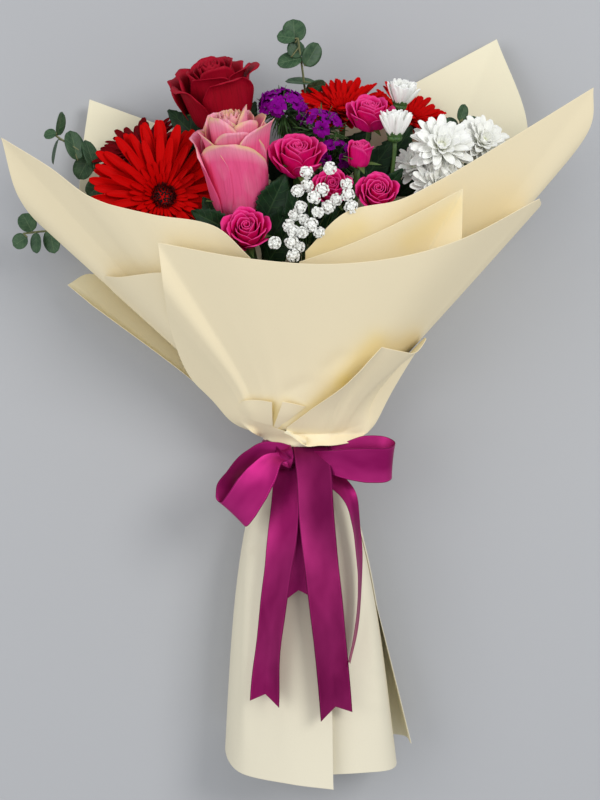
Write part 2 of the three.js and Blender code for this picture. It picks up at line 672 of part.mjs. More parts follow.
// Below the tie the stems spread again.
function cutEnd([x, z]) {
  return V(1.55 * x * STEM_SLOT, CUT_END + 3 * Math.abs(x), TIE_HEIGHT + 1.3 * z * STEM_SLOT);
}

// The point under a bloom where its stem ends, and the way the stem arrives there.
function neckOf(name) {
  const { middle, axis, size } = BLOOMS[name];
  const depth = kindOf(name).depth(size);
  return { end: middle.clone().addScaledVector(axis, -depth), axis };
}

// The same stem with its middle pushed aside by growing amounts, until it runs clear of everything.
const DETOURS = [[0, 0]];
for (const away of [5, 10, 16, 23]) {
  for (let k = 0; k < 8; k++) {
    const turn = (k * Math.PI) / 4;
    DETOURS.push([away * Math.cos(turn), away * Math.sin(turn)]);
  }
}

function clearTube(pathFor, radius, sides = 4, own = []) {
  const others = placed.filter((o) => !own.includes(o.name));
  for (const [x, z] of DETOURS) {
    const path = pathFor(V(x, 0, z));
    if (!isClear(tube(path, radius + CLEARANCE, sides), others)) continue;
    return { path, solid: tube(path, radius, sides) };
  }
  throw new Error("a stem finds no clear way");
}

const stems = {};
function reserve(name, solid) {
  placed.push({ name, solid, box: solid.boundingBox() });
}

function layStem(name) {
  const { slot, heads, radius } = STEMS[name];
  const necks = heads.map(neckOf);
  const own = heads.map((head) => head + "_core");
  const [from, below, tied] = [cutEnd(slot), tieAt(slot, -TIED), tieAt(slot, TIED)];
  const first = necks[0];
  const bend = (push) => tied.clone().lerp(first.end, 0.55).addScaledVector(first.axis, -12).add(push);
  const arrive = (neck, back) => neck.end.clone().addScaledVector(neck.axis, -back);
  const way = (push) => [from, below, tied, bend(push), arrive(first, 12), first.end];
  const main = clearTube(way, radius, 4, own);
  const parts = [main.solid];
  const fork = main.path[3];
  for (const neck of necks.slice(1)) {
    const branch = clearTube(
      (push) => [fork, fork.clone().lerp(arrive(neck, 12), 0.6).add(push), arrive(neck, 7), neck.end],
      radius * 0.7, 4, own,
    );
    parts.push(branch.solid);
  }
  stems[name] = { solid: union(parts), path: main.path };
  reserve(name, stems[name].solid);
}

// The twine under the ribbon holds the stems together.
const TWINE_RADIUS = 15;

function twine() {
  const section = [[0, -4], [1, -2.4], [0.4, 0], [1, 2.4], [0, 4], [0, -4]];
  const outline = section.map(([out, y]) => new THREE.Vector2(TWINE_RADIUS + out, y));
  return solidOf(new THREE.LatheGeometry(outline, 12).translate(0, 0, TIE_HEIGHT));
}

// ---------- leaves ----------
function facing(point, direction, normal) {
  const x = direction.clone().normalize();
  const y = normal.clone().cross(x).normalize();
  return new THREE.Matrix4().makeBasis(x, y, x.clone().cross(y)).setPosition(point);
}

// A leaf in its own frame: it runs along x, its midrib lies in a shallow fold, and its edge may be toothed.
function leafShape({ length, width, fold = 0.25, droop = 0.1, teeth = 0, fullest = 0.45, stalk = 0.12 }) {
  return (v, u, lift, size) => {
    const past = (v - fullest) / (1 - fullest);
    const swellAt = v < fullest ? Math.sin((v / fullest) * (Math.PI / 2)) : Math.cos(past * 1.42);
    const tooth = teeth ? 1 - teeth * (Math.round(v * 4) % 2) : 1;
    const half = (width / 2) * Math.max(stalk, swellAt * tooth) * size;
    const reach = length * size * (v - (u * u * stalk * v) / 2);
    const rise = lift - droop * v;
    return V(reach * Math.cos(rise), half * u, reach * Math.sin(rise) + fold * half * Math.abs(u));
  };
}

const LEAF_BENDS = [...BENDS, [-40, 0.85], [55, 0.75], [0, 0.5], [30, 0.5], [-30, 0.5]];
function clearLeaf(leaf, grid, frame, others) {
  const shape = leafShape(leaf);
  return bentClear((bend) => rowsOf({ shape, ...grid }, frame, bend), LEAF_BENDS, PETAL, others);
}

// Toothed leaves: the stem they grow from, where they start, where they point, their width and face.
const ROSE_LEAVES = [
  ["stem_rose_pink", [-24, 160, 92], [-12, 186, 110], 21, [0.1, 0, 1]],
  ["stem_rose_pink", [-52, 150, 92], [-66, 172, 104], 20, [0, -0.2, 1]],
  ["stem_rose_crimson", [-64, 212, 72], [-90, 236, 84], 22, [-0.2, 0.2, 1]],
  ["stem_rose_crimson", [-50, 210, 70], [-34, 240, 84], 20, [0.2, 0, 1]],
  ["stem_spray_rose_left", [2, 160, 96], [26, 170, 118], 17, [0, -0.3, 1]],
  ["stem_spray_rose_left", [-6, 168, 88], [-30, 176, 112], 17, [-0.2, 0, 1]],
  ["stem_spray_rose_right", [44, 168, 96], [66, 190, 110], 18, [0.1, -0.2, 1]],
  ["stem_spray_rose_low", [-40, 122, 104], [-62, 142, 122], 16, [0, -0.2, 1]],
  ["stem_gerbera_left", [-80, 140, 84], [-116, 158, 96], 18, [0, 0, 1]],
];

// The nearest point of a stem, counting only what stands above the tie.
function nearestOn(path, point) {
  const above = lineOf(path).getSpacedPoints(60).slice(34);
  return above.reduce((a, b) => (b.distanceTo(point) < a.distanceTo(point) ? b : a));
}

// A leaf on its stalk: the stalk leaves the stem at the nearest point.
function stalkedLeaf(name, from, to, width, normal) {
  const others = placed.filter((o) => o.name !== name);
  const [base, tip] = [V(...from), V(...to)];
  const origin = nearestOn(stems[name].path, base);
  const direction = tip.clone().sub(base);
  const stalk = [origin, origin.clone().lerp(base, 0.5), base.clone().addScaledVector(direction, 0.08)];
  if (!isClear(tube(stalk, 0.8 + CLEARANCE, 3), others)) return [];
  const frame = facing(base, direction, V(...normal));
  const shape = { length: direction.length(), width, teeth: 0.16 };
  const leaf = clearLeaf(shape, { along: 4, across: 2 }, frame, others);
  return leaf ? [tube(stalk, 0.8, 3), leaf] : [];
}

const SEPALLED = ["spray_rose_c", "spray_rose_f"];

// Sepals stand round the neck of a rose or spray rose, under its petals.
function sepals(name, stemName) {
  const { end, axis } = neckOf(name);
  const { size } = BLOOMS[name];
  const others = placed.filter((o) => o.name !== stemName);
  const grownSepals = [];
  for (let n = 0; n < 4; n++) {
    const turn = (Math.PI * n) / 2 + 0.3;
    const frame = frameAt(end.clone().addScaledVector(axis, -1.2), axis, turn);
    const [length, width] = [26 * size + 4, 9 * size + 1];
    const leaf = { length, width, fold: 0.2, droop: 0.5, fullest: 0.3, stalk: 0.25 };
    grownSepals.push(clearLeaf(leaf, { along: 2, across: 1 }, frame, others));
  }
  return grownSepals;
}

// Eucalyptus: a twig with round leaves in pairs. Each sprig has its slot at the tie and its tip's route.
const SPRIGS = {
  eucalyptus_top: { slot: [-0.5, -0.9], path: [[-8, 150, 28], [-6, 250, 34], [-4, 304, 60]], leaves: 6 },
  eucalyptus_left_upper: {
    slot: [-1.5, -0.9], path: [[-72, 120, 30], [-138, 190, 40], [-172, 236, 78]], leaves: 8,
  },
  eucalyptus_left_lower: {
    slot: [-1, -1.8], path: [[-62, 74, 33], [-150, 150, 46], [-196, 193, 69], [-218, 166, 52]], leaves: 5,
  },
  eucalyptus_right: { slot: [1, -1.8], path: [[48, 130, 18], [92, 200, 36], [117, 240, 64]], leaves: 4 },
};

function eucalyptus(name) {
  const { slot, path, leaves } = SPRIGS[name];
  const [bend, ...rest] = path.map((p) => V(...p));
  const [from, below, tied] = [cutEnd(slot), tieAt(slot, -TIED), tieAt(slot, TIED)];
  const twig = clearTube((push) => [from, below, tied, bend.clone().add(push), ...rest], 1.5);
  const curve = lineOf(twig.path);
  const parts = [twig.solid];
  for (let n = 0; n < leaves; n++) {
    const t = n === leaves - 1 ? 0.995 : 1 - 0.05 * (Math.floor((leaves - n) / 2)) - 0.006;
    const [point, along] = [curve.getPointAt(t), curve.getTangentAt(t)];
    const aside = along.clone().cross(V(0, 0, 1)).normalize().multiplyScalar(n % 2 ? 1 : -1);
    const direction = n === leaves - 1 ? along : aside.multiplyScalar(1.2).add(along);
    const frame = facing(point, direction, V(jitter(0.4), jitter(0.4), 1));
    const round = { length: 17 + jitter(2), width: 14 + jitter(1), fold: 0.12, fullest: 0.55, stalk: 0.2 };
    parts.push(clearLeaf(round, { along: 2, across: 1 }, frame, placed));
  }
  add(name, union(parts), "eucalyptus");
}

// Baby's breath: small ruffled heads at the ends of fine branches.
const SPRAY = { fork: [4, 132, 112], middle: [7, 164, 148], spread: [19, 27, 5], heads: 12, head: 3.9 };

function ruffled(centre) {
  const geometry = new THREE.IcosahedronGeometry(SPRAY.head, 0);
  const position = geometry.getAttribute("position");
  for (let k = 0; k < position.count; k++) {
    const point = V(0, 0, 0).fromBufferAttribute(position, k);
    const dented = Math.abs(point.z) < 0.01 * SPRAY.head;
    point.multiplyScalar(dented ? 0.7 : 1.15).add(centre);
    position.setXYZ(k, point.x, point.y, point.z);
  }
  return solidOf(geometry);
}

function babysBreath() {
  const [fork, middle] = [V(...SPRAY.fork), V(...SPRAY.middle)];
  const [from, below, tied] = [cutEnd(SPRAY_SLOT), tieAt(SPRAY_SLOT, -TIED), tieAt(SPRAY_SLOT, TIED)];
  const stem = clearTube((push) => [from, below, tied, tied.clone().lerp(fork, 0.6).add(push), fork], 1.3);
  const curve = lineOf(stem.path);
  const parts = [stem.solid];
  const places = [];
  for (let n = 0; n < SPRAY.heads; n++) {
    const start = curve.getPointAt(1 - (0.2 * (n + 0.3)) / SPRAY.heads);
    for (let attempt = 0; attempt < 12; attempt++) {
      const place = middle.clone().add(V(...SPRAY.spread.map((w) => jitter(w))));
      if (places.some((other) => other.distanceTo(place) < 2.4 * SPRAY.head)) continue;
      const room = new THREE.IcosahedronGeometry(SPRAY.head * 1.15 + CLEARANCE, 0);
      room.translate(...place.toArray());
      if (!isClear(tube([start, place], 0.7 + CLEARANCE, 3)) || !isClear(solidOf(room))) continue;
      parts.push(tube([start, place], 0.7, 3), ruffled(place));
      places.push(place);
      break;
    }
  }
  add("gypsophila", union(parts), "babysBreath");
}

// ---------- growing the bouquet ----------
add("stem_tie", twine(), "twine");
for (const [name, { middle, axis, size }] of Object.entries(BLOOMS)) {
  const { core } = kindOf(name);
  const flat = name.startsWith("gerbera");
  const place = frameAt(middle.clone().addScaledVector(axis, flat ? 2 : 0), axis);
  reserve(name + "_core", ball(place, flat ? size * 0.8 : core * size, flat ? core : 0.8, 0));
}
for (const name of Object.keys(STEMS)) layStem(name);
for (const name of Object.keys(SPRIGS)) eucalyptus(name);
for (let k = placed.length - 1; k >= 0; k--) {
  if (placed[k].name.endsWith("_core")) placed.splice(k, 1);
}

rose("rose_pink", ROSE, "pinkRose");
rose("rose_crimson", ROSE, "crimsonRose");
gerbera("gerbera_left", "gerbera", true);
for (const letter of "abcdef") rose("spray_rose_" + letter, SPRAY_ROSE, "sprayRose");
babysBreath();
for (const letter of "cdfbae") mum("mum_" + letter);
for (const letter of "abc") sweetWilliam("sweet_william_" + letter);
gerbera("gerbera_dark", "darkGerbera", true);
gerbera("gerbera_top", "gerbera", false);
gerbera("gerbera_right", "gerbera", false);

for (const [name, { heads }] of Object.entries(STEMS)) {
  const greens = heads.filter((head) => SEPALLED.includes(head)).flatMap((head) => sepals(head, name));
  for (const [owner, ...leaf] of ROSE_LEAVES) if (owner === name) greens.push(...stalkedLeaf(name, ...leaf));
  const bare = placed.findIndex((o) => o.name === name);
  placed.splice(bare, 1);
  add(name, union([stems[name].solid, ...greens]), "stem");
}

// The origin is in the middle of the bouquet's outline, on the surface it lies on.
const outline = new THREE.Box3().setFromObject(bouquet);
const centre = outline.getCenter(V(0, 0, 0));
bouquet.position.set(-centre.x, -centre.y, -outline.min.z);

export default bouquet;
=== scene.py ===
# A mixed flower bouquet in cream wrapping paper with a satin bow, lying on its back on a pale floor.
import math
import random

import bmesh
import bpy
import numpy as np
from mathutils import Matrix, Quaternion, Vector
from mathutils.bvhtree import BVHTree


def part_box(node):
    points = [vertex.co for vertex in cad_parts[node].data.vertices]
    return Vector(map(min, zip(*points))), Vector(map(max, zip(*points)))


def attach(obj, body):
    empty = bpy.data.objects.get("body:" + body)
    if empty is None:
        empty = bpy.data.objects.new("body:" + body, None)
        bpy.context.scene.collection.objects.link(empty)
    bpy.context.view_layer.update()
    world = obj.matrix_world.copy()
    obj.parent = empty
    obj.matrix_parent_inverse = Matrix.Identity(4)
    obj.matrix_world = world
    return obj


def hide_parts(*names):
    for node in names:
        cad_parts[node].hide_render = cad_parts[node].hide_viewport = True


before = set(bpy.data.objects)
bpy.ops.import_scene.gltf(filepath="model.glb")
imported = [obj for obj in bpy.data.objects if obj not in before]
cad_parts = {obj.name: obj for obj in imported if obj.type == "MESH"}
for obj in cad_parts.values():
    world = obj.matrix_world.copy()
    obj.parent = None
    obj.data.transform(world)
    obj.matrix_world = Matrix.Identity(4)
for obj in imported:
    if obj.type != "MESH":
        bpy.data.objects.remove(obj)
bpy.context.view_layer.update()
scene = bpy.context.scene

# Places are in millimetres, counted from the tie in x and y and from the floor in z.
bandLow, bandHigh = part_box("ribbon_band")
tieHeight = 500 * (bandLow.z + bandHigh.z)
tie = Vector(((bandLow.x + bandHigh.x) / 2, (bandLow.y + bandHigh.y) / 2, 0))
toFrame = Matrix.Translation(tie) @ Matrix.Scale(0.001, 4)
chance = random.Random(11)


def smooth(value, low, high):
    share = np.clip((value - low) / (high - low), 0, 1)
    return share * share * (3 - 2 * share)


def jitter(amount):
    return chance.uniform(-amount, amount)


def unit(vector):
    vector = np.asarray(vector, float)
    return vector / np.linalg.norm(vector)


# Rows of values under the names of their columns, as dictionaries.
def table(columns, *rows):
    return [dict(zip(columns.split(), row)) for row in rows]


def named(columns, **rows):
    return dict(zip(rows, table(columns, *rows.values())))


# A smooth line through points, as evenly spaced points.
def smoothLine(points, count):
    points = [np.asarray(p, float) for p in points]
    if len(points) == 2:
        return np.linspace(points[0], points[1], count)
    points = [2 * points[0] - points[1], *points, 2 * points[-1] - points[-2]]
    fine = []
    for a, b, c, d in zip(points, points[1:], points[2:], points[3:]):
        t1, t2, t3 = np.cumsum([max(np.linalg.norm(q - p), 1e-3) ** 0.5 for p, q in ((a, b), (b, c), (c, d))])
        for t in np.linspace(t1, t2, 24, endpoint=False):
            ab = (a * (t1 - t) + b * t) / t1
            bc = (b * (t2 - t) + c * (t - t1)) / (t2 - t1)
            cd = (c * (t3 - t) + d * (t - t2)) / (t3 - t2)
            abc = (ab * (t2 - t) + bc * t) / t2
            bcd = (bc * (t3 - t) + cd * (t - t1)) / (t3 - t1)
            fine.append((abc * (t2 - t) + bcd * (t - t1)) / (t2 - t1))
    fine = np.array(fine + [points[-2]])
    gone = np.concatenate([[0], np.cumsum(np.linalg.norm(np.diff(fine, axis=0), axis=1))])
    at = np.linspace(0, gone[-1], count)
    return np.stack([np.interp(at, gone, fine[:, k]) for k in range(3)], 1)


# ---- meshes ----
def quadsOf(ids):
    return np.stack([ids[:-1, :-1], ids[:-1, 1:], ids[1:, 1:], ids[1:, :-1]], -1).reshape(-1, 4)


# Values across and along a grid, which spread over its columns and its rows.
def overGrid(rows, columns, start=-1):
    return np.linspace(start, 1, columns)[None], np.linspace(0, 1, rows)[:, None]


def units(vectors):
    return vectors / np.linalg.norm(vectors, axis=1, keepdims=True)


# Grids of points that become one mesh. Each grid has its own uv, along and across it, and its own tone.
class Grids:
    def __init__(self):
        self.points, self.faces, self.uvs, self.tones, self.slots = [], [], [], [], []
        self.count = 0

    def add(self, grid, tone=0.5, ring=False, slot=0, frame=None):
        rows, columns = grid.shape[:2]
        points = grid.reshape(-1, 3)
        if frame is not None:
            points = points @ frame[:3, :3].T + frame[:3, 3]
        ids = np.arange(rows * columns).reshape(rows, columns) + self.count
        if ring:
            ids = np.concatenate([ids, ids[:, :1]], 1)
        quads = quadsOf(ids)
        v, u = np.meshgrid(np.linspace(0, 1, rows), np.linspace(0, 1, columns), indexing="ij")
        self.points.append(points)
        self.faces.append(quads)
        self.uvs.append(np.stack([u, v], -1).reshape(-1, 2))
        self.tones.append(np.broadcast_to(tone, (rows, columns)).reshape(-1))
        self.slots.append(np.full(len(quads), slot))
        self.count += rows * columns
        return self

    def tube(self, points, radii, sides=8, **more):
        return self.add(tubeGrid(points, radii, sides), ring=True, **more)

    # a round body along z, through heights with a radius at each
    def lathe(self, heights, radii, sides, **more):
        return self.tube([(0, 0, z) for z in heights], radii, sides, **more)

    def mesh(self, name):
        points, faces = np.concatenate(self.points), np.concatenate(self.faces)
        mesh = bpy.data.meshes.new(name)
        mesh.from_pydata(points.tolist(), [], faces.tolist())
        uvs = np.concatenate(self.uvs)[faces.reshape(-1)]
        mesh.uv_layers.new(name="UVMap").data.foreach_set("uv", uvs.reshape(-1))
        mesh.attributes.new("tone", "FLOAT", "POINT").data.foreach_set("value", np.concatenate(self.tones))
        mesh.polygons.foreach_set("material_index", np.concatenate(self.slots))
        mesh.polygons.foreach_set("use_smooth", np.ones(len(faces), bool))
        return mesh


def joined(name, meshes):
    whole = bmesh.new()
    for mesh in meshes:
        whole.from_mesh(mesh)
    mesh = bpy.data.meshes.new(name)
    whole.to_mesh(mesh)
    whole.free()
    return mesh


# The node that a piece stands for: rosePink stands for rose_pink.
def nodeOf(name):
    return "".join("_" + c.lower() if c.isupper() else c for c in name)


# A finished piece in place of its CAD node. Thickness is in millimetres, half of it on each side.
def finish(name, mesh, materials, slot, thickness=0.0):
    mesh.transform(toFrame)
    for material in materials:
        mesh.materials.append(material)
    piece = bpy.data.objects.new(name, mesh)
    scene.collection.objects.link(piece)
    if thickness:
        solid = piece.modifiers.new("thickness", "SOLIDIFY")
        solid.thickness, solid.offset = thickness / 1000, 0
    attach(piece, "root")
    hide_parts(nodeOf(name))
    return piece


# The frame of a bloom: its origin at a point and its z along the way it faces.
def bloomFrame(at, facing, roll=0.0):
    turn = Vector((0, 0, 1)).rotation_difference(Vector(unit(facing)))
    turn = turn @ Quaternion((0, 0, 1), roll)
    return np.array(Matrix.Translation(Vector(at)) @ turn.to_matrix().to_4x4())


# The frame of a leaf: its origin at a point, x along it and z out of its face.
def leafFrame(at, direction, normal):
    x = unit(direction)
    y = unit(np.cross(np.asarray(normal, float), x))
    placed = np.eye(4)
    placed[:3, :3] = np.stack([x, y, np.cross(x, y)], 1)
    placed[:3, 3] = at
    return placed


# Rings of points round a line, for stems and cords.
def tubeGrid(points, radii, sides=8):
    points = np.asarray(points, float)
    radii = np.broadcast_to(radii, len(points)) * 1.0
    ahead = np.gradient(points, axis=0)
    side = unit(np.cross(ahead[0], [0.3, 0.2, 1.0]))
    rings = []
    turns = np.linspace(0, 2 * math.pi, sides, endpoint=False)
    for point, forward, radius in zip(points, ahead, radii):
        forward = unit(forward)
        side = unit(side - forward * np.dot(side, forward))
        other = np.cross(forward, side)
        rings.append(point + radius * (np.outer(np.cos(turns), side) + np.outer(np.sin(turns), other)))
    first, last = np.repeat(points[:1], sides, 0), np.repeat(points[-1:], sides, 0)
    return np.array([first, *rings, last])


# ---- nodes ----
# A socket that can be used in plain arithmetic, in a material or in a Geometry Nodes tree.
class Wire:
    def __init__(self, tree, socket=None):
        self.tree = tree
        self.socket = socket

    def node(self, kind, values=None, output=0, stops=None, **settings):
        made = self.tree.nodes.new(kind)
        for key, setting in settings.items():
            setattr(made, key, setting)
        if stops:
            elements = made.color_ramp.elements
            elements.remove(elements[1])
            elements[0].position, elements[0].color = stops[0][0], (*stops[0][1], 1)
            for place, colour in stops[1:]:
                elements.new(place).color = (*colour, 1)
        for key, value in (values or {}).items():
            if isinstance(value, Wire):
                self.tree.links.new(value.socket, made.inputs[key])
            else:
                made.inputs[key].default_value = value
        return Wire(self.tree, made.outputs[output] if made.outputs else None)

    def math(self, operation, *others):
        return self.node("ShaderNodeMath", dict(enumerate((self, *others))), operation=operation)

    def __add__(self, other):
        return self.math("ADD", other)

    def __sub__(self, other):
        return self.math("SUBTRACT", other)

    def __mul__(self, other):
        return self.math("MULTIPLY", other)

    def __truediv__(self, other):
        return self.math("DIVIDE", other)

    def __pow__(self, other):
        return self.math("POWER", other)

    def __rsub__(self, other):
        return self.node("ShaderNodeMath", {0: other, 1: self}, operation="SUBTRACT")

    __radd__ = __add__
    __rmul__ = __mul__

    def between(self, low, high, fromLow=0.0, fromHigh=1.0):
        values = {"Value": self, "From Min": fromLow, "From Max": fromHigh, "To Min": low, "To Max": high}
        return self.node("ShaderNodeMapRange", values)

    # a colour between this one and another
    def towards(self, colour, share, blend="MIX"):
        values = {0: share, 6: self, 7: (*colour, 1)}
        return self.node("ShaderNodeMix", values, 2, data_type="RGBA", blend_type=blend)

    def ramp(self, stops):
        return self.node("ShaderNodeValToRGB", {"Fac": self}, stops=stops)

    def bump(self, height, distance, strength=1.0):
        return self.node("ShaderNodeBump", {"Height": height, "Distance": distance, "Strength": strength})


def ink(*rgb):
    return tuple(c / 255 / 12.92 if c <= 10 else ((c / 255 + 0.055) / 1.055) ** 2.4 for c in rgb)


def dimmed(colour, share):
    return [share * c for c in colour]


# ---- materials ----
def newMaterial(name):
    material = bpy.data.materials.new(name)
    material.use_nodes = True
    material.node_tree.nodes.clear()
    return material, Wire(material.node_tree)


def shade(material, wire, values):
    surface = wire.node("ShaderNodeBsdfPrincipled", values)
    wire.node("ShaderNodeOutputMaterial", {"Surface": surface})
    return material


def objectSpace(wire):
    return wire.node("ShaderNodeTexCoord", output="Object")


def noise(wire, vector, scale, detail=3.0, rough=0.5):
    values = {"Vector": vector, "Scale": scale, "Detail": detail, "Roughness": rough}
    return wire.node("ShaderNodeTexNoise", values)


# u across and v along a piece, both from 0 to 1
def across(wire):
    uv = wire.node("ShaderNodeUVMap", uv_map="UVMap")
    return [wire.node("ShaderNodeSeparateXYZ", {0: uv}, k) for k in (0, 1)]


def stretched(wire, u, v, across, along):
    return wire.node("ShaderNodeCombineXYZ", {0: u * across, 1: v * along, 2: tone(wire) * 37.0})


def tone(wire):
    return wire.node("ShaderNodeAttribute", output="Fac", attribute_name="tone")


def paperMaterial(name, colour, warm):
    material, wire = newMaterial(name)
    where = objectSpace(wire)
    fibres = noise(wire, where, 900, 4, 0.65)
    clouds = noise(wire, where, 9, 3)
    base = clouds.ramp([(0.3, dimmed(colour, 0.97)), (0.7, colour)])
    base = base.towards(dimmed(colour, 0.93), fibres.between(0, 0.35, 0.5, 0.75))
    # painted warm shade: the paper turns towards the warm colour where its tone marks light caught between
    # folds
    base = base.towards(warm, tone(wire) * 0.8)
    height = fibres + 0.7 * noise(wire, where, 60, 4)
    return shade(material, wire, {
        "Base Color": base, "Roughness": 0.62, "Specular IOR Level": 0.2,
        "Normal": wire.bump(height, 0.00006),
    })


def petalMaterial(name, foot, body, rim, veins=0.4, rimAt=0.93, dry=None, soft=0.05, rough=0.5):
    material, wire = newMaterial(name)
    u, v = across(wire)
    fine = noise(wire, stretched(wire, u, v, 34, 2.2), 1, 3, 0.6)
    broad = noise(wire, stretched(wire, u, v, 4, 2.5), 1, 2)
    colour = v.ramp([(0.0, foot), (0.28, body), (rimAt - 0.12, body), (rimAt + 0.05, rim)])
    colour = colour.towards(dimmed(body, 0.55), fine.between(0, veins, 0.45, 0.8), "MULTIPLY")
    colour = colour.towards(rim, broad.between(0, 0.45, 0.5, 0.75))
    colour = colour.towards(dimmed(body, 0.72), tone(wire).between(0, 0.3))
    if dry:
        edge = v.between(0, 1, 0.93, 0.99) * broad.between(0, 1, 0.4, 0.55)
        colour = colour.towards(dry, edge)
    return shade(material, wire, {
        "Base Color": colour, "Roughness": fine.between(rough - 0.08, rough + 0.12),
        "Specular IOR Level": 0.16, "Subsurface Weight": soft, "Subsurface Scale": 0.001,
        "Normal": wire.bump(fine + 0.6 * broad, 0.0003, 0.7),
    })


# A long petal with grooves along it.
def rayMaterial(name, foot, body, tip, grooves=3.0, uneven=0.4, rough=0.6, gloss=0.06):
    material, wire = newMaterial(name)
    u, v = across(wire)
    groove = (u * (2 * math.pi * grooves)).math("COSINE")
    fine = noise(wire, stretched(wire, u, v, 14, 1.4), 1, 3)
    colour = v.ramp([(0.0, foot), (0.25, body), (0.85, body), (1.0, tip)])
    # painted shade in the grooves, mixed with fine streaks, and a darker tone for each petal at random
    grooveShadeAndTone = dimmed(body, 0.7)
    colour = colour.towards(grooveShadeAndTone, (groove * 0.4 + fine).between(0, uneven, 0.3, 1.1))
    colour = colour.towards(grooveShadeAndTone, tone(wire).between(0, uneven * 1.6))
    return shade(material, wire, {
        "Base Color": colour, "Roughness": rough, "Specular IOR Level": gloss,
        "Normal": wire.bump(groove * 0.4 + fine, 0.0002, 0.5),
    })


def leafMaterial(name, dark, light, rib, pairs=7.0, waxy=0.45, gloss=0.3):
    material, wire = newMaterial(name)
    u, v = across(wire)
    aside = (u - 0.5).math("ABSOLUTE") * 2.0
    side = ((v * pairs - aside * 1.3).math("FRACT") - 0.5).math("ABSOLUTE")
    vein = side.between(1, 0, 0.0, 0.06).math("MAXIMUM", aside.between(1, 0, 0.0, 0.07))
    mottle = noise(wire, objectSpace(wire), 240, 4, 0.6)
    colour = mottle.ramp([(0.3, dark), (0.75, light)])
    colour = colour.towards(rib, vein * 0.5)
    colour = colour.towards(dimmed(dark, 0.6), tone(wire).between(0, 0.6))
    return shade(material, wire, {
        "Base Color": colour, "Roughness": waxy, "Specular IOR Level": gloss,
        "Normal": wire.bump(mottle - vein * 0.8, 0.0003, 0.6),
    })


def stemMaterial(name, dark, light):
    material, wire = newMaterial(name)
    u, v = across(wire)
    streaks = noise(wire, stretched(wire, u, v, 26, 6), 1, 3)
    colour = streaks.ramp([(0.35, dark), (0.7, light)])
    values = {"Base Color": colour, "Roughness": 0.55, "Normal": wire.bump(streaks, 0.0003)}
    return shade(material, wire, values)


# Satin: a fine weave across, a tight edge with stitches, and a gloss that the weave stretches.
def satinMaterial(name, deep, bright, wide, length):
    material, wire = newMaterial(name)
    u, v = across(wire)
    picks = (v * (length * 2 * math.pi / 0.45)).math("SINE")
    warp = (u * (wide * 2 * math.pi / 0.6)).math("SINE")
    edge = (u - 0.5).math("ABSOLUTE")
    hem = edge.between(0, 1, 0.385, 0.392) * edge.between(1, 0, 0.402, 0.41)
    stitch = ((v * (length / 1.4)).math("FRACT") - 0.5).math("ABSOLUTE").between(1, 0, 0.2, 0.3)
    # painted sheen: the colour runs between deep and bright along the length, for the gloss that comes and
    # goes on satin
    paintedSheen = noise(wire, stretched(wire, u, v, 1.5, length / 40), 1, 2)
    colour = paintedSheen.ramp([(0.3, deep), (0.7, bright)])
    colour = colour.towards(dimmed(bright, 1.5), hem * stitch * 0.6)
    colour = colour.towards(dimmed(deep, 0.5), edge.between(0, 0.6, 0.412, 0.42))
    height = picks * 0.5 + warp * 0.25 + hem * stitch * 1.5
    return shade(material, wire, {
        "Base Color": colour, "Roughness": 0.38, "Metallic": 0.6, "Specular IOR Level": 0.1,
        "Sheen Weight": 0.03, "Sheen Roughness": 0.4, "Sheen Tint": (0.9, 0.3, 0.7, 1),
        "Normal": wire.bump(height, 0.00005, 0.4),
    })


def plainMaterial(name, dark, light, scale, rough, depth):
    material, wire = newMaterial(name)
    grain = noise(wire, objectSpace(wire), scale, 4, 0.6)
    colour = grain.ramp([(0.3, dark), (0.7, light)])
    values = {"Base Color": colour, "Roughness": rough, "Normal": wire.bump(grain, depth)}
    return shade(material, wire, values)


cream = paperMaterial("cream paper", ink(251, 236, 199), ink(248, 224, 146))
butter = paperMaterial("paper inside", ink(243, 235, 205), ink(246, 220, 140))
plainPaper = paperMaterial("skirt paper", ink(230, 222, 198), ink(246, 220, 140))
petals = {
    "rose_pink": petalMaterial(
        "pink rose petal", ink(222, 80, 122), ink(244, 94, 146), ink(250, 172, 190), dry=ink(226, 182, 140)),
    "rose_crimson": petalMaterial(
        "crimson rose petal", ink(70, 0, 8), ink(156, 0, 28), ink(172, 6, 40), soft=0.0, rough=0.6),
    "spray_rose": petalMaterial(
        "magenta rose petal", ink(180, 4, 78), ink(232, 14, 120), ink(242, 72, 152), 0.3, 0.99, soft=0.03),
    "gerbera": rayMaterial("gerbera petal", ink(110, 0, 0), ink(206, 0, 0), ink(214, 2, 2)),
    "gerbera_dark": rayMaterial("dark gerbera petal", ink(44, 0, 4), ink(118, 0, 10), ink(134, 2, 18)),
    "mum": rayMaterial(
        "white petal", ink(232, 236, 190), ink(254, 254, 248), ink(255, 255, 252), 3.0, 0.05, gloss=0.1),
    "sweet_william": rayMaterial("purple petal", ink(70, 0, 70), ink(138, 2, 142), ink(150, 14, 158), 7.0),
    "gypsophila": rayMaterial(
        "tiny white petal", ink(246, 246, 236), ink(255, 255, 250), ink(255, 255, 252), 1.0, 0.05, 0.7, 0.05),
}
eyeMaterial = plainMaterial("gerbera eye", ink(8, 2, 4), ink(30, 4, 8), 900, 0.8, 0.0004)
tuftMaterial = plainMaterial("gerbera tuft", ink(44, 0, 2), ink(120, 20, 20), 600, 0.6, 0.0002)
roseLeaf = leafMaterial("rose leaf", ink(14, 40, 20), ink(34, 70, 36), ink(80, 112, 66), gloss=0.2)
softGreen = leafMaterial("sepal", ink(70, 100, 44), ink(112, 138, 72), ink(150, 160, 104), 4.0, 0.5)
gumLeaf = leafMaterial("eucalyptus leaf", ink(38, 70, 44), ink(78, 108, 74), ink(116, 140, 100), 5.0)
greenStem = stemMaterial("green stem", ink(52, 84, 36), ink(92, 122, 58))
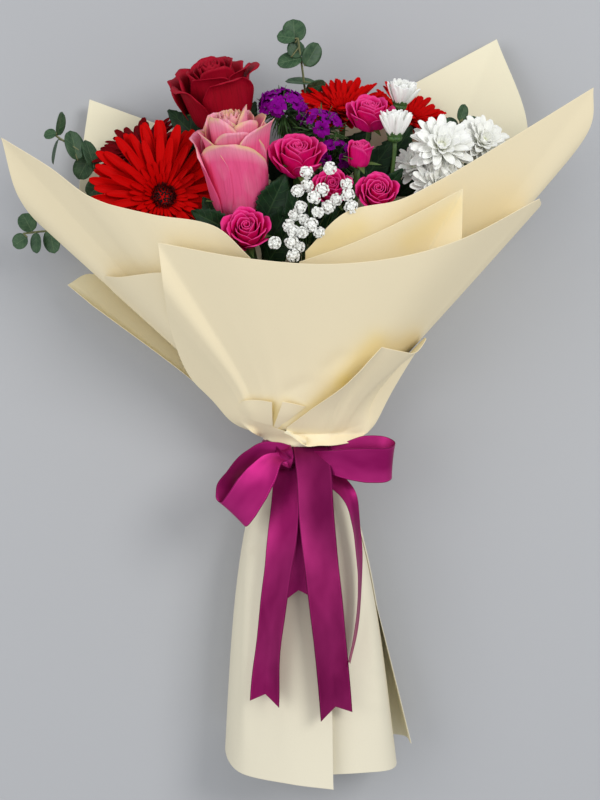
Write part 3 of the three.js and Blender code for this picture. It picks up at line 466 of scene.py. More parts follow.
gumStem = stemMaterial("eucalyptus twig", ink(96, 104, 66), ink(140, 138, 92))
bractGreen = stemMaterial("green bract", ink(36, 70, 26), ink(80, 120, 52))
twineMaterial = plainMaterial("twine", ink(140, 110, 70), ink(196, 170, 122), 1400, 0.85, 0.0004)
print("materials made")

# ---- wrapping paper ----
# Layers are counted outwards from the innermost sheet, and angles from the front, towards the right.
paper = {
    "thickness": 0.35, "innermost": 18.6, "layer": 1.4, "tied": 12.5, "start": 1.2,
    "belly": 1.5, "reach": 240.0, "skirtBelly": 11.0, "skirtReach": 232.0, "upwards": 0.35,
    "puff": 15.0, "puffAt": 9.0, "spacing": 3.5, "rows": 84,
}

# A sheet has its rim as edges, each of which starts where the last one ends. Some have creases and dents,
# given by where they start and end, how high and how wide they are, and how sharp. Warm is a painted warm
# shade where light is caught between folds, given by where it starts and ends, how wide it is and how much.
sheets = {
    "paperBackLeft": {
        "layer": 1, "floor": 4.4, "edges": [
            [(34, 233, 4), (-6, 229, 3), (-54, 226, 4), (-114, 245, 7), (-158, 260, 13)],
            [(-162, 221, 22), (-163, 190, 32)]]},
    "paperBackRight": {
        "layer": -0.45, "floor": 5.8, "edges": [
            [(-20, 224, 12), (1, 231, 11), (22, 240, 11), (73, 267, 9), (145, 305, 12)],
            [(165, 238, 30), (158, 181, 42), (132, 140, 42)]]},
    "paperWingLeft": {
        "layer": 2, "floor": 1.6, "edges": [
            [(-34, 130, 146), (-57, 150, 150), (-100, 159, 142), (-141, 172, 128), (-171, 194, 115),
             (-207, 217, 98)],
            [(-200, 180, 72), (-183, 158, 40), (-144, 140, 6), (-60, 112, 2)]]},
    "paperWingRight": {
        "layer": 2, "edges": [
            [(2, 134, 146), (28, 159, 150), (64, 168, 146), (91, 182, 138), (133, 208, 122), (200, 251, 100)],
            [(202, 228, 78), (173, 188, 46), (132, 148, 4), (40, 112, -10)]],
        "warm": [((0, 130), (36, 150), 9, 0.55)]},
    "paperMiddle": {
        "layer": 3, "edges": [
            [(-2, 127, 149), (31, 138, 154), (64, 153, 153), (106, 176, 141)],
            [(106, 141, 134)]],
        "warm": [((70, 142), (104, 166), 7, 0.4)]},
    "paperFront": {
        "layer": 4.2, "over": ["paperWingLeft"], "edges": [
            [(-62, 34, 38), (-80, 52, 46), (-91, 82, 78), (-93, 111, 124), (-95, 140, 144)],
            [(-34, 128, 160), (18, 124, 166), (64, 129, 164), (101, 140, 158), (162, 174, 106)],
            [(166, 172, 84), (161, 166, 64)]],
        "creases": [
            ((28, 68), (15, 56), -2.6, 5), ((36, 62), (24, 50), 1.8, 6), ((-14, 40), (4, 50), -2, 4),
            ((-60, 70), (-40, 34), -1.2, 7), ((-10, 60), (-24, 36), 1.2, 6)],
        "warm": [
            ((-21, 31), (-18, 19), 5, 1.0), ((50, 76), (30, 50), 8, 0.55), ((30, 50), (-6, 20), 5, 0.5)]},
    "paperLowLeft": {
        "layer": 4, "edges": [
            [(-151.6, 104.8, 42), (-171.4, 120.7, 32)],
            [(-157, 130, 17), (-125, 118, 6)]]},
    "paperUnder": {
        "layer": 3.1, "over": ["paperWingLeft"], "gap": 0.6, "edges": [
            [(-130, 112, 40), (-140, 123, 66), (-124, 121, 100), (-95, 122, 125), (-60, 120, 140)]]},
    "paperFold": {
        "layer": 5.3, "over": ["paperFront"], "laid": True, "gap": 1.0,
        "hem": [
            (-13, 15.3, 66.5), (-5, 9, 68), (3, 3.8, 69.5), (12, 4.5, 70), (21, 4.3, 68.5), (33, 6, 62.5),
            (42, 8.5, 52.8), (47, 17, 38), (46, 22, 28)],
        "edges": [
            [(-11, 17, 68), (5.5, 29.5, 88), (29.4, 46.8, 110), (53.5, 72, 123)],
            [(66, 69.5, 117), (77.5, 69, 106), (85.5, 78, 92), (86, 80, 76), (84, 74, 40)]],
        "creases": [
            ((44, 50), (8, 12), 1.6, 5), ((8, 5), (40, 18), -2.4, 2.6, 1.2), ((56, 44), (30, 14), -1.2, 5)]},
    "skirtRight": {
        "layer": 1.6, "floor": 2, "edges": [
            [(10, -228, 72), (41, -227, 70), (63, -227, 60), (68, -226, 34), (56, -221, 8)]],
        "creases": [
            ((44, -90), (56, -190), 1.2, 4), ((49, -158), (56, -164), -1.0, 3),
            ((40, -176), (58, -182), 0.8, 4)]},
    "skirtBack": {
        "layer": 2.8, "belly": 0.35, "over": ["skirtRight"], "gap": 0.8, "edges": [
            [(79, -212, 44), (75, -213, 12), (54, -215, -3), (-10, -218, -4), (-36, -210, 6)]]},
    "skirtLeft": {
        "layer": 4, "edges": [
            [(-44, -207, 1), (-56, -216, 30), (-46, -228, 60), (-9, -233, 77), (22, -236, 81)]],
        "creases": [
            ((-38, -70), (-41, -205), 1.5, 3.5), ((-30, -62), (-37, -72), -1.2, 3),
            ((-4, -110), (-12, -215), 0.9, 7), ((-26, -40), (-30, -150), -1.0, 5)]},
}


# The angle round the tie and the distance from its middle line.
def aroundTie(grid):
    right, front = grid[..., 0], grid[..., 2] - tieHeight
    return np.arctan2(right, front), np.hypot(right, front)


# How far a sheet stands off the straight line to its rim: a puff just above the ribbon and a slight belly.
def swell(angle, y, belly=1.0):
    upper = y > 0
    reach = np.where(upper, paper["reach"], paper["skirtReach"])
    share = np.clip((np.abs(y) - paper["tied"]) / (reach - paper["tied"]), 0, 1)
    share = np.where(upper, share, share**0.6)
    amount = belly * np.where(upper, paper["belly"], paper["skirtBelly"]) * np.sin(np.pi * share)
    near = np.maximum(y - 11, 0) / paper["puffAt"]
    right = 1 - 0.75 * smooth(np.sin(angle), 0.1, 0.8)
    amount = amount + paper["puff"] * right * near * np.exp(1 - near)
    return np.stack([amount * np.sin(angle), 0 * y, amount * paper["upwards"] * np.cos(angle)], -1)


# The gathers fade out from the tie. All sheets share them, so that none breaks through the next.
gathers = [
    (jitter(3.1), chance.uniform(0.035, 0.085), chance.uniform(0.5, 1.5), chance.uniform(26, 95))
    for _ in range(46)]


def gathered(angle, y):
    rise = 0 * y
    for middle, wide, high, reach in gathers:
        away = np.abs((angle - middle + np.pi) % (2 * np.pi) - np.pi)
        length = np.abs(y) - paper["tied"]
        profile = np.maximum(1 - away / wide, 0) ** 1.3
        rise = rise + high * profile * smooth(length, -2, 16) * np.exp(-np.maximum(length, 0) / reach)
    return rise


def outward(grid):
    along, sideways = np.gradient(grid, axis=0), np.gradient(grid, axis=1)
    normal = np.cross(sideways, along)
    normal /= np.maximum(np.linalg.norm(normal, axis=-1, keepdims=True), 1e-9)
    away = grid - np.array([0, 0, tieHeight])
    away[..., 1] = 0
    return normal * np.where((normal * away).sum(-1, keepdims=True) < 0, -1, 1)


def sheetGrid(shape):
    rim, corner = [], []
    for edge in shape["edges"]:
        edge = corner + edge
        corner = edge[-1:]
        length = sum(np.linalg.norm(np.subtract(b, a)) for a, b in zip(edge, edge[1:]))
        line = smoothLine(edge, max(int(length / paper["spacing"]), 4) + 1)
        rim.extend(line[1:] if rim else line)
    rim = np.array(rim)
    way = math.copysign(1, rim[0, 1])
    angle = aroundTie(rim)[0]
    radius = paper["innermost"] + shape["layer"] * paper["layer"]
    belly = shape.get("belly", 1.0)
    held = polar(angle, way * paper["tied"] + 0 * angle, radius)
    first = polar(angle, way * paper["start"] + 0 * angle, radius)
    if "hem" in shape:
        hem = smoothLine(shape["hem"], 80)
        hemAngle, hemRadius = aroundTie(hem)
        hemY, radius = np.interp(angle, hemAngle, hem[:, 1]), np.interp(angle, hemAngle, hemRadius)
        held, first = polar(angle, hemY, radius), polar(angle, hemY + 2.5, radius - 3.5)
    rows = [first]
    end = rim - swell(angle, rim[:, 1], belly)
    shares = np.linspace(0, 1, paper["rows"]) ** 1.15
    for t in shares:
        straight = held + (end - held) * t
        rows.append(straight + swell(angle, straight[:, 1], belly))
    grid = np.array(rows)
    rise = gathered(np.broadcast_to(angle, grid.shape[:2]), grid[..., 1])
    for name in shape.get("over", []):
        grid = laidOver(grid, layers[name], shape.get("gap", 0.9), shares if shape.get("laid") else None)
    for crease in shape.get("creases", []):
        rise = rise + creased(grid, *crease)
    grid = grid + outward(grid) * rise[..., None] * (0.3 if "over" in shape else 1)
    grid[..., 2] = np.maximum(grid[..., 2], shape.get("floor", 0) + 0.4)
    if (np.cross(*np.gradient(grid, axis=(1, 0))) * outward(grid)).sum() < 0:
        grid = grid[:, ::-1]
    return grid


def polar(angle, y, radius):
    return np.stack([radius * np.sin(angle), y + 0 * angle, tieHeight + radius * np.cos(angle)], -1)


def surfaceOf(grid):
    quads = quadsOf(np.arange(grid[..., 0].size).reshape(grid.shape[:2]))
    return BVHTree.FromPolygons(grid.reshape(-1, 3).tolist(), quads.tolist())


# A sheet is kept outside the one below it, or follows it at a gap where it is laid on it.
def laidOver(grid, tree, gap, shares=None):
    angle, radius = aroundTie(grid)
    below = radius * np.nan
    for index, a in np.ndenumerate(angle):
        hit = tree.ray_cast(Vector((0, grid[index][1], tieHeight)), Vector((math.sin(a), 0, math.cos(a))))
        if hit[0]:
            below[index] = hit[3]
    wanted = np.fmax(radius, below + gap)
    if shares is not None:
        spare = np.nan_to_num(radius - below - gap)
        t = shares[:, None]
        bent = below[1:] + gap + spare[1] * (1 - t) ** 4 + np.maximum(spare[-1], 0) * t**2
        wanted[1:] = np.where(np.isnan(below[1:]), radius[1:], bent)
        wanted[0] = radius[0]
    return polar(angle, grid[..., 1], wanted)


# A second line of points just inside the border keeps the shading flat up to it.
def bordered(grid, near=0.1):
    for axis in (0, 1):
        grid = np.swapaxes(grid, 0, axis)
        first, last = grid[0] + (grid[1] - grid[0]) * near, grid[-1] + (grid[-2] - grid[-1]) * near
        grid = np.concatenate([grid[:1], first[None], grid[1:-1], last[None], grid[-1:]])
        grid = np.swapaxes(grid, 0, axis)
    return grid


# How much painted warm shade each point gets, near the lines where light is caught between folds.
def paintedWarmShade(grid, places):
    warm = 0
    for a, b, wide, amount in places:
        a, b = np.array(a, float), np.array(b, float)
        t = np.clip(((grid[..., :2] - a) @ (b - a)) / ((b - a) @ (b - a)), 0, 1)
        away = np.linalg.norm(grid[..., :2] - a - t[..., None] * (b - a), axis=-1)
        warm = warm + amount * np.exp(-((away / wide) ** 2))
    return np.clip(warm, 0, 1) * (grid[..., 2] > tieHeight)


# A small folded piece at the neck, as rows of places on the paper with a height above it.
def patchGrid(rows):
    trees = [layers["paperFront"], layers["paperFold"]]
    lines = []
    for row in rows:
        places = []
        for x, y, lift in row:
            hits = [tree.ray_cast(Vector((x, y, 400)), Vector((0, 0, -1)))[0] for tree in trees]
            top = max((hit.z for hit in hits if hit), default=tieHeight + 20)
            places.append((x, y, top + lift))
        lines.append(smoothLine(places, 36))
    return np.stack([smoothLine(column, 22) for column in np.swapaxes(lines, 0, 1)], 1)[:, ::-1]


neckFolds = {
    "pocketLeft": [
        [(-45.8, 30.2, 0.8), (-41.6, 35.8, 3), (-31, 36.4, 4.5), (-21, 35, 5.5)],
        [(-45, 28.5, 0.8), (-38.5, 29.5, 2.4), (-30, 28.5, 3.2), (-21, 27, 3.4)],
        [(-44, 26.5, 0.4), (-36, 22.5, 1), (-28, 20, 1.4), (-20.8, 18.2, 1)]],
    "pocketRight": [
        [(-13.5, 35.3, 5.5), (-6, 34, 4), (2.7, 31.8, 1.2)],
        [(-17, 26, 3.4), (-11, 25.5, 2.6), (-7, 24.5, 0.9)],
        [(-20, 18, 1), (-18.8, 17.2, 1), (-17.5, 16.4, 0.8)]],
    "roll": [
        [(-44, 27, 0.3), (-36, 23, 0.4), (-26, 20, 0.6), (-18, 16.5, 0.8), (-8, 13, 0.8), (3, 10, 0.8)],
        [(-45, 22, 1.2), (-36, 17, 2.4), (-27, 13.8, 3.2), (-17, 11, 4), (-8, 9, 5), (3, 7, 4.5)],
        [(-42, 18, 1.5), (-35, 13, 4), (-28, 9, 5), (-19, 5.8, 6), (-8.5, 3.4, 7), (3, 3.2, 6)],
        [(-40, 19, -1.5), (-34, 15, 1), (-27.5, 11.5, 2), (-18.6, 8.6, 3), (-8, 6, 4), (3, 5.4, 3)]],
}


# A crease or a dent seen from above: along a line from one place to another, with a height and a width.
def creased(grid, start, end, high, wide, sharp=2.0):
    start, fade = np.array(start, float), 0.3
    span = end - start
    place = grid[..., :2] - start
    t = (place @ span) / (span @ span)
    off = np.abs(place[..., 0] * span[1] - place[..., 1] * span[0]) / np.linalg.norm(span)
    ends = smooth(t, -fade, fade) * (1 - smooth(t, 1 - fade, 1 + fade))
    return high * np.exp(-((off / wide) ** sharp)) * ends * (grid[..., 2] > tieHeight)


layers, grids = {}, {}
for name, shape in sheets.items():
    grid = sheetGrid(shape)
    layers[name] = surfaceOf(grid)
    grids[name] = bordered(grid)
added = {
    "paperLowLeft": [grids.pop("paperUnder")],
    "paperFront": [bordered(patchGrid(rows)) for rows in neckFolds.values()],
}
for name, grid in grids.items():
    sheet = Grids().add(grid, paintedWarmShade(grid, sheets[name].get("warm", [])))
    for more in added.get(name, []):
        sheet.add(more, 0.0)
    sides = [plainPaper if name.startswith("skirt") else cream, butter]
    piece = finish(name, sheet.mesh(name), sides, "paper", paper["thickness"])
    piece.modifiers["thickness"].material_offset = 1
print("paper gathered")

# ---- ribbon ----
ribbon = {"wide": 25, "thickness": 0.4, "deep": ink(134, 18, 84), "bright": ink(166, 38, 108)}
# Each strip has its middle line, the ways its width points along it, and the shares of its width it spans.
# Some strips carry painted light: their whole satin is made darker or lighter for the light that falls on
# them.
strips = {
    "ribbonTailRight": {
        "notch": 7, "dim": 0.62,
        "line": [
            (5.5, 6, 62), (6.5, -1, 69), (8.5, -16, 75), (10, -44, 80), (16.5, -105, 84), (21, -147, 85),
            (24, -184, 86)],
        "widths": [(1, 0.1, -0.1), (1, 0.08, -0.1), (1, 0.1, -0.3), (1, 0.15, -0.45), (1, 0.2, -0.5)]},
    "ribbonTailLeft": {
        "notch": 7, "dim": 0.95,
        "line": [
            (-11, 0, 60), (-11.5, -14, 66), (-12, -36, 73), (-15.5, -72, 78.5), (-20.4, -108, 81.5),
            (-25, -150, 82), (-26.5, -176, 82)],
        "widths": [(1, 0.1, 0.2), (1, 0.1, 0.45), (1, 0.12, 0.8), (1, 0.1, 1.0), (1, -0.1, 0.7)],
        "spans": [0.6, 0.85, 1, 1, 1, 1]},
    "ribbonTailSide": {
        "wide": 13, "notch": 4,
        "line": [
            (14, -9, 61), (23, -20, 63), (30, -26.5, 66), (34.9, -34, 68), (38, -48, 69), (40.5, -76, 70),
            (40.5, -104, 71), (37, -131, 73), (33, -150, 75)],
        "widths": [
            (0.4, 0.9, -0.2), (0.5, 0.7, -0.5), (0.35, 0.4, -0.8), (0.25, 0, -1), (0.2, 0, -1),
            (0.2, 0, -1)]},
    "ribbonLoopRight": {
        "dim": 1.2,
        "line": [
            (9, -6, 66), (16, -7, 71), (30, -8.5, 76), (48, -9.5, 78.5), (60, -9, 77), (64.5, -6, 71),
            (58, -1, 64), (42, 1, 62), (26, -2, 61), (16, -4, 60)],
        "widths": [
            (-0.1, 1, 0.3), (0, 1, 0.25), (0.08, 1, 0.2), (0.1, 1, 0.1), (0.12, 1, 0.1), (0.05, 1, 0.1)],
        "spans": [0.55, 0.7, 0.9, 1, 1, 1, 0.9, 0.8, 0.6, 0.5]},
    "ribbonLoopLeft": {
        "dim": 1.3,
        "line": [
            (-8, -2, 64), (-17, 0, 69), (-29, -1.5, 72), (-40, -8.5, 73), (-48, -19, 74), (-52.5, -31, 74),
            (-51.5, -41, 76), (-48, -43.5, 81), (-43, -38, 85), (-36.5, -28, 86), (-28, -15, 84),
            (-21, -5, 78), (-12, -3, 70)],
        "widths": [
            (0, 1, 0.2), (-0.15, 1, 0.4), (-0.3, 0.6, 0.75), (-0.4, 0.35, 0.85), (-0.6, 0.5, 0.6),
            (-0.72, 0.68, 0.1), (-0.75, 0.65, 0.05), (-0.85, 0.5, 0.05), (-0.95, 0.3, 0.1),
            (-0.8, 0.5, 0.3)],
        "spans": [0.5, 0.6, 0.8, 0.9, 1, 1, 1, 1, 0.98, 0.85, 0.6, 0.4]},
}
knotFolds = [
    {
        "line": [(-14, 5, 62), (-13, 3, 70), (-12, -4, 74), (-13, -11, 72), (-14, -15, 64)],
        "widths": [(1, 0, 0.1), (1, 0.1, -0.1)], "wide": 12, "crown": 2.4, "spans": [0.9, 1, 0.7]},
    {
        "line": [(-30, 3, 63), (-22, 1, 70), (-15, -4, 74.5), (-9, -8, 73), (-4, -10, 66)],
        "widths": [(0.3, 1, 0), (0.5, 0.8, 0)], "wide": 10, "crown": 1.8, "spans": [1, 0.8, 0.6]},
]
shortTail = {
    "line": [(-6, -9, 62), (-5.5, -30, 68), (-4, -64, 74.5), (-2.2, -104, 77.5)],
    "widths": [(1, 0, 0.1), (1, 0.1, 0)], "wide": 23, "notch": 7, "spans": [0.7, 0.9, 1],
}


def stripGrid(shape, rows=90, columns=13):
    line = smoothLine(shape["line"], rows)
    given = units(np.array(shape["widths"], float))
    along = np.linspace(0, len(given) - 1, rows)
    eased = np.floor(along) + smooth(along % 1, 0, 1)
    turned = units(np.stack([np.interp(eased, np.arange(len(given)), given[:, k]) for k in range(3)], 1))
    ahead = units(np.gradient(line, axis=0))
    up = np.cross(turned, ahead)
    u = np.linspace(-1, 1, columns)
    v = np.linspace(0, 1, rows)
    cut = shape.get("notch", 0) * smooth(v, 1 - 24 / rows, 1)
    spans = shape.get("spans", [1, 1])
    half = shape.get("wide", ribbon["wide"]) / 2 * np.interp(v, np.linspace(0, 1, len(spans)), spans)
    raised = shape.get("crown", 0.6) * (1 - u * u)[None]
    raised = raised + 0.35 * np.sin(19 * v + line[0, 0])[:, None] * (0.5 + 0.5 * u)
    aside = turned[:, None] * (half[:, None] * u)[..., None]
    notched = ahead[:, None] * (cut[:, None] * (1 - np.abs(u))[None])[..., None]
    return bordered(line[:, None] + aside + up[:, None] * raised[..., None] - notched)


def lengthOf(line):
    return np.linalg.norm(np.diff(smoothLine(line, 60), axis=0), axis=1).sum()


def satin(wide, length, dim=1.0):
    # painted light: both satin colours are scaled darker or lighter for one strip as a whole
    deep, bright = dimmed(ribbon["deep"], dim), dimmed(ribbon["bright"], dim)
    return satinMaterial("satin %d" % length, deep, bright, wide, length)


for name, shape in strips.items():
    wide, length = shape.get("wide", ribbon["wide"]), lengthOf(shape["line"])
    mesh = Grids().add(stripGrid(shape)).mesh(name)
    piece = finish(name, mesh, [satin(wide, length, shape.get("dim", 1.0))], "ribbon", ribbon["thickness"])
    held = "hung" if "notch" in shape else "folded"
    wide / 1000
    length / 1000


bandShape = {"radius": 27.4, "half": 11, "length": 172}
knotShape = {"wide": 20, "length": 110}


# The band is slightly wavy and stands out in its middle.
def bandGrid(sides=96):
    turns, half = np.linspace(0, 2 * math.pi, sides, endpoint=False), bandShape["half"]
    rows = []
    for y in np.linspace(-half, half, 9):
        wave = 0.4 * np.sin(9 * turns + 0.4 * y)
        rows.append(polar(turns, y, bandShape["radius"] + wave + 0.8 * math.cos(y / half * math.pi / 2)))
    return np.array(rows)


band = Grids().add(bandGrid(), ring=True).mesh("ribbonBand")
bandSatin, knotSatin = satin(ribbon["wide"], bandShape["length"]), satin(**knotShape)
finish("ribbonBand", band, [bandSatin], "ribbon", ribbon["thickness"])
knot = Grids().add(stripGrid(shortTail))
for fold in knotFolds:
    knot.add(stripGrid(fold, 40))
finish("ribbonKnot", knot.mesh("ribbonKnot"), [knotSatin], "ribbon", ribbon["thickness"])
print("ribbon tied")

# ---- roses ----
# Each rose is a rolled heart inside rings of petals. Sizes are of a rose of size 1, angles in degrees.
footBelow = 23
heart = {"radius": 9, "height": 49, "turns": 2.4, "start": 0.4}
ringColumns = "count from radius height wide open curl tuck edge"
roseRings = table(
    ringColumns, (3, 5, 12, 47, 34, -3, 20, 1.6, 0.5), (4, 6, 16.5, 47, 36, 0, 36, 2.2, 1.2),
    (4, 7, 21, 44, 42, 4, 76, 2.6, 2.4), (5, 7, 26, 40, 44, 9, 120, 2.6, 3.4))
roseRings[3]["point"] = 0.07
# the pink rose shows one broad petal to the front, one rolled out to its left and one upright to its right
pinkRings = table(
    ringColumns, (3, 5, 11, 50, 32, -4, 14, 1.6, 0.5), (4, 6, 15, 48, 36, -2, 30, 2.4, 1),
    (4, 7, 19, 45, 42, 2, 50, 2.6, 2), (4, 7, 22, 41, 56, 5, 60, 2.2, 2.6))
pinkRings[2]["start"] = 0.3
pinkRings[3].update({
    "start": -1.7, "turns": [0, 1.3, 2.9, 4.5], "curls": [0.35, 0.9, 1.2, 2.6], "opens": [0, 9, 0, 4],
    "heights": [0.93, 1.12, 1.0, 0.96], "point": 0.06})
sprayHeart = {"radius": 7.5, "height": 36, "turns": 1.9, "start": 1.0}
sprayRings = table(
    ringColumns, (3, 5, 11, 37, 33, -2, 16, 2, 1), (4, 6, 15.5, 37, 34, 3, 30, 2.6, 2),
    (5, 7, 20.5, 34, 36, 9, 46, 3, 2.6), (5, 8, 26, 27, 38, 22, 56, 3, 3))
sprayRings[2]["point"], sprayRings[3]["point"] = 0.05, 0.1
roses = named(
    "petal rings heart at facing size tall turn seed",
    rosePink=("rose_pink", pinkRings, heart, (-45, 196, 108), (-0.1, 0.87, 0.46), 1.0, 1.46, 0.0, 5),
    roseCrimson=("rose_crimson", roseRings, heart, (-60, 250, 78), (-0.2, 0.86, 0.46), 0.92, 1.0, 1.2, 2))
sprayPlaces = {
    "A": ((-3, 203, 118), (0.05, 0.7, 0.7), 0.57), "B": ((47, 236, 94), (0.05, 0.8, 0.6), 0.5),
    "C": ((39, 205, 114), (0.1, 0.85, 0.5), 0.46), "D": ((50, 175, 136), (0.05, 0.4, 0.92), 0.43),
    "E": ((20, 180, 122), (0, 0.45, 0.9), 0.42), "F": ((-37, 150, 136), (0, 0.45, 0.9), 0.48),
}
for letter, (at, facing, size) in sprayPlaces.items():
    roses["sprayRose" + letter] = {
        "petal": "spray_rose", "rings": sprayRings, "heart": sprayHeart, "at": at, "facing": facing,
        "size": size, "tall": 1.0, "turn": 0.0, "seed": ord(letter)}
roses["sprayRoseC"]["rings"] = sprayRings[:2]
petalUsual = {"curls": 1, "heights": 1, "opens": 0}


# A petal stands up from its foot, leans out and rolls over at its rim. Its sides are tucked in and out.
def rosePetal(ring, size, tall, turn, draw, curled=1.0, high=1.0, opened=0.0, rows=19, columns=15):
    fine = np.linspace(0, 1, 90)
    curl = ring["curl"] * curled * draw.uniform(0.7, 1.2)
    curlFrom = draw.uniform(0.62, 0.8)
    lean = 84 * (1 - smooth(fine, 0, 0.42)) + ring["open"] + opened + draw.uniform(-3, 4)
    lean = np.radians(lean + curl * smooth(fine, curlFrom, 1.02) ** 1.4)
    out, up = np.cumsum(np.sin(lean)), np.cumsum(np.cos(lean))
    out = ring["from"] + (ring["radius"] - ring["from"]) * out / np.interp(0.66, fine, out)
    up = ring["height"] * tall * high * draw.uniform(0.94, 1.04) * up / up.max()
    u, v = overGrid(rows, columns)
    top = v * (1 - 0.2 * np.abs(u) ** 2.6) + ring.get("point", 0.02) * np.exp(-((u / 0.22) ** 2)) * v**8
    top = np.minimum(top, 1)
    reach, level = np.interp(top, fine, out), np.interp(top, fine, up)
    half = ring["wide"] / 2 * (0.3 + 0.7 * np.sin(np.pi / 2 * np.minimum(v / 0.55, 1)))
    angle = turn + u * np.minimum(half / np.maximum(np.interp(v, fine, out), 0.3 * ring["radius"]), 1.45)
    phase = draw.uniform(0, 6)
    wave = smooth(v, 0.55, 1) * (0.6 * np.sin(5 * u + phase) + 0.35 * np.sin(11 * u + 2 * phase))
    edge = ring["edge"] * np.abs(u) ** 3 * smooth(v, 0.35, 0.95)
    reach = reach + ring["tuck"] * u * (0.3 + 0.7 * v) + edge + wave
    level = level - 0.35 * edge + 0.7 * wave
    return size * np.stack([reach * np.cos(angle), reach * np.sin(angle), level], -1)


def rolledHeart(shape, size, tall, rows=15, columns=110):
    u, v = overGrid(rows, columns, 0)
    reach = shape["radius"] * (0.12 + 0.88 * u**0.8) * (0.75 + 0.3 * np.sin(np.pi * v * 0.8))
    reach = reach + 1.2 * smooth(v, 0.85, 1)
    angle = shape["start"] + 2 * np.pi * shape["turns"] * u
    rim = 1 + 0.02 * np.sin(9 * angle) - 0.03 * u
    level = shape["height"] * tall * v * rim
    return size * np.stack([reach * np.cos(angle), reach * np.sin(angle), level], -1)


def roseMesh(name, shape):
    draw = random.Random(shape["seed"])
    size, tall = shape["size"], shape["tall"]
    foot = np.array(shape["at"]) - unit(shape["facing"]) * footBelow * size * tall
    placed = bloomFrame(foot, shape["facing"], shape["turn"])
    grids = Grids().add(rolledHeart(shape["heart"], size, tall), 0.4, frame=placed)
    for k, ring in enumerate(shape["rings"]):
        for n in range(ring["count"]):
            turn = 2 * math.pi * (n + draw.uniform(-0.12, 0.12)) / ring["count"] + ring.get("start", 0.9 * k)
            if "turns" in ring:
                turn = ring["start"] + ring["turns"][n]
            curled, high, opened = [ring.get(key, [usual] * 9)[n] for key, usual in petalUsual.items()]
            petal = rosePetal(ring, size, tall, turn, draw, curled, high, opened)
            grids.add(petal, draw.uniform(0, 0.6), frame=placed)
    heights, radii = np.array([[-4.2, -1.5, 1.5, 3.5], [2.6, 6.5, 7.6, 6.5]]) * size
    grids.lathe(heights, radii, 12, slot=1, frame=placed)
    return grids.mesh(name)


# Anything in the wrapping that would come through a wing of the paper is kept inside it.
def keptInside(mesh, gap=1.5):
    for vertex in mesh.vertices:
        for wing in ("paperWingLeft", "paperWingRight"):
            place, normal, _, away = layers[wing].find_nearest(vertex.co, 25)
            if place is None or abs((vertex.co - place).dot(normal)) < 0.9 * away:
                continue
            centre = Vector((0, place.y, tieHeight))
            outer = normal if normal.dot(place - centre) > 0 else -normal
            past = (vertex.co - place).dot(outer) + gap
            if past > 0:
                vertex.co = vertex.co - outer * past
    return mesh


for name, shape in roses.items():
    mesh = keptInside(roseMesh(name, shape))
    finish(name, mesh, [petals[shape["petal"]], softGreen], shape["petal"] + "_petals", 0.35)
print("roses opened")


# ---- flowers grown by Geometry Nodes ----
def newTree(name, floats):
    kinds = {"petal": "Object", "material": "Material", "count": "Int", "seed": "Int"}
    kinds.update(dict.fromkeys(floats.split(), "Float"))
    tree = bpy.data.node_groups.new(name, "GeometryNodeTree")
    tree.interface.new_socket("Geometry", in_out="OUTPUT", socket_type="NodeSocketGeometry")
    for label, kind in kinds.items():
        tree.interface.new_socket(label, in_out="INPUT", socket_type="NodeSocket" + kind)
    given = tree.nodes.new("NodeGroupInput")
    return Wire(tree), {label: Wire(tree, given.outputs[label]) for label in kinds}


def randomly(given, low, high, step):
    values = {2: low, 3: high, 8: given["seed"] + step}
    return given["seed"].node("FunctionNodeRandomValue", values, 1, data_type="FLOAT")


def closeTree(wire, points, given, rotation, scale):
    petal = wire.node("GeometryNodeObjectInfo", {"Object": given["petal"], "As Instance": True}, "Geometry")
    values = {"Points": points, "Instance": petal, "Rotation": rotation, "Scale": scale}
    made = wire.node("GeometryNodeInstanceOnPoints", values)
    values = {"Geometry": made, "Name": "tone", "Value": randomly(given, 0.0, 0.8, 5)}
    made = wire.node("GeometryNodeStoreNamedAttribute", values, data_type="FLOAT", domain="INSTANCE")
    made = wire.node("GeometryNodeRealizeInstances", {"Geometry": made})
    made = wire.node("GeometryNodeSetMaterial", {"Geometry": made, "Material": given["material"]})
    wire.node("NodeGroupOutput", {"Geometry": made})
    return wire.tree


# A ring of petals, each leaning up from the ring's plane by its rise, in degrees.
def petalRingTree():
    wire, given = newTree("petal ring", "radius level rise uneven turn")
    uneven = given["uneven"]
    index = wire.node("GeometryNodeInputIndex")
    angle = (index + randomly(given, -0.22, 0.22, 0) * uneven) / given["count"] * (2 * math.pi)
    angle = angle + given["turn"]
    level = given["level"] + randomly(given, -0.6, 0.6, 1)
    where = wire.node("ShaderNodeCombineXYZ", {
        0: angle.math("COSINE") * given["radius"], 1: angle.math("SINE") * given["radius"], 2: level})
    points = wire.node("GeometryNodePoints", {"Count": given["count"], "Position": where})
    rise = given["rise"] + randomly(given, -7.0, 7.0, 2) * uneven
    twist = randomly(given, -0.3, 0.3, 3) * uneven
    rotation = wire.node("ShaderNodeCombineXYZ", {0: twist, 1: rise * -math.radians(1), 2: angle})
    return closeTree(wire, points, given, rotation, 1 - randomly(given, 0.0, 0.12, 4) * uneven)


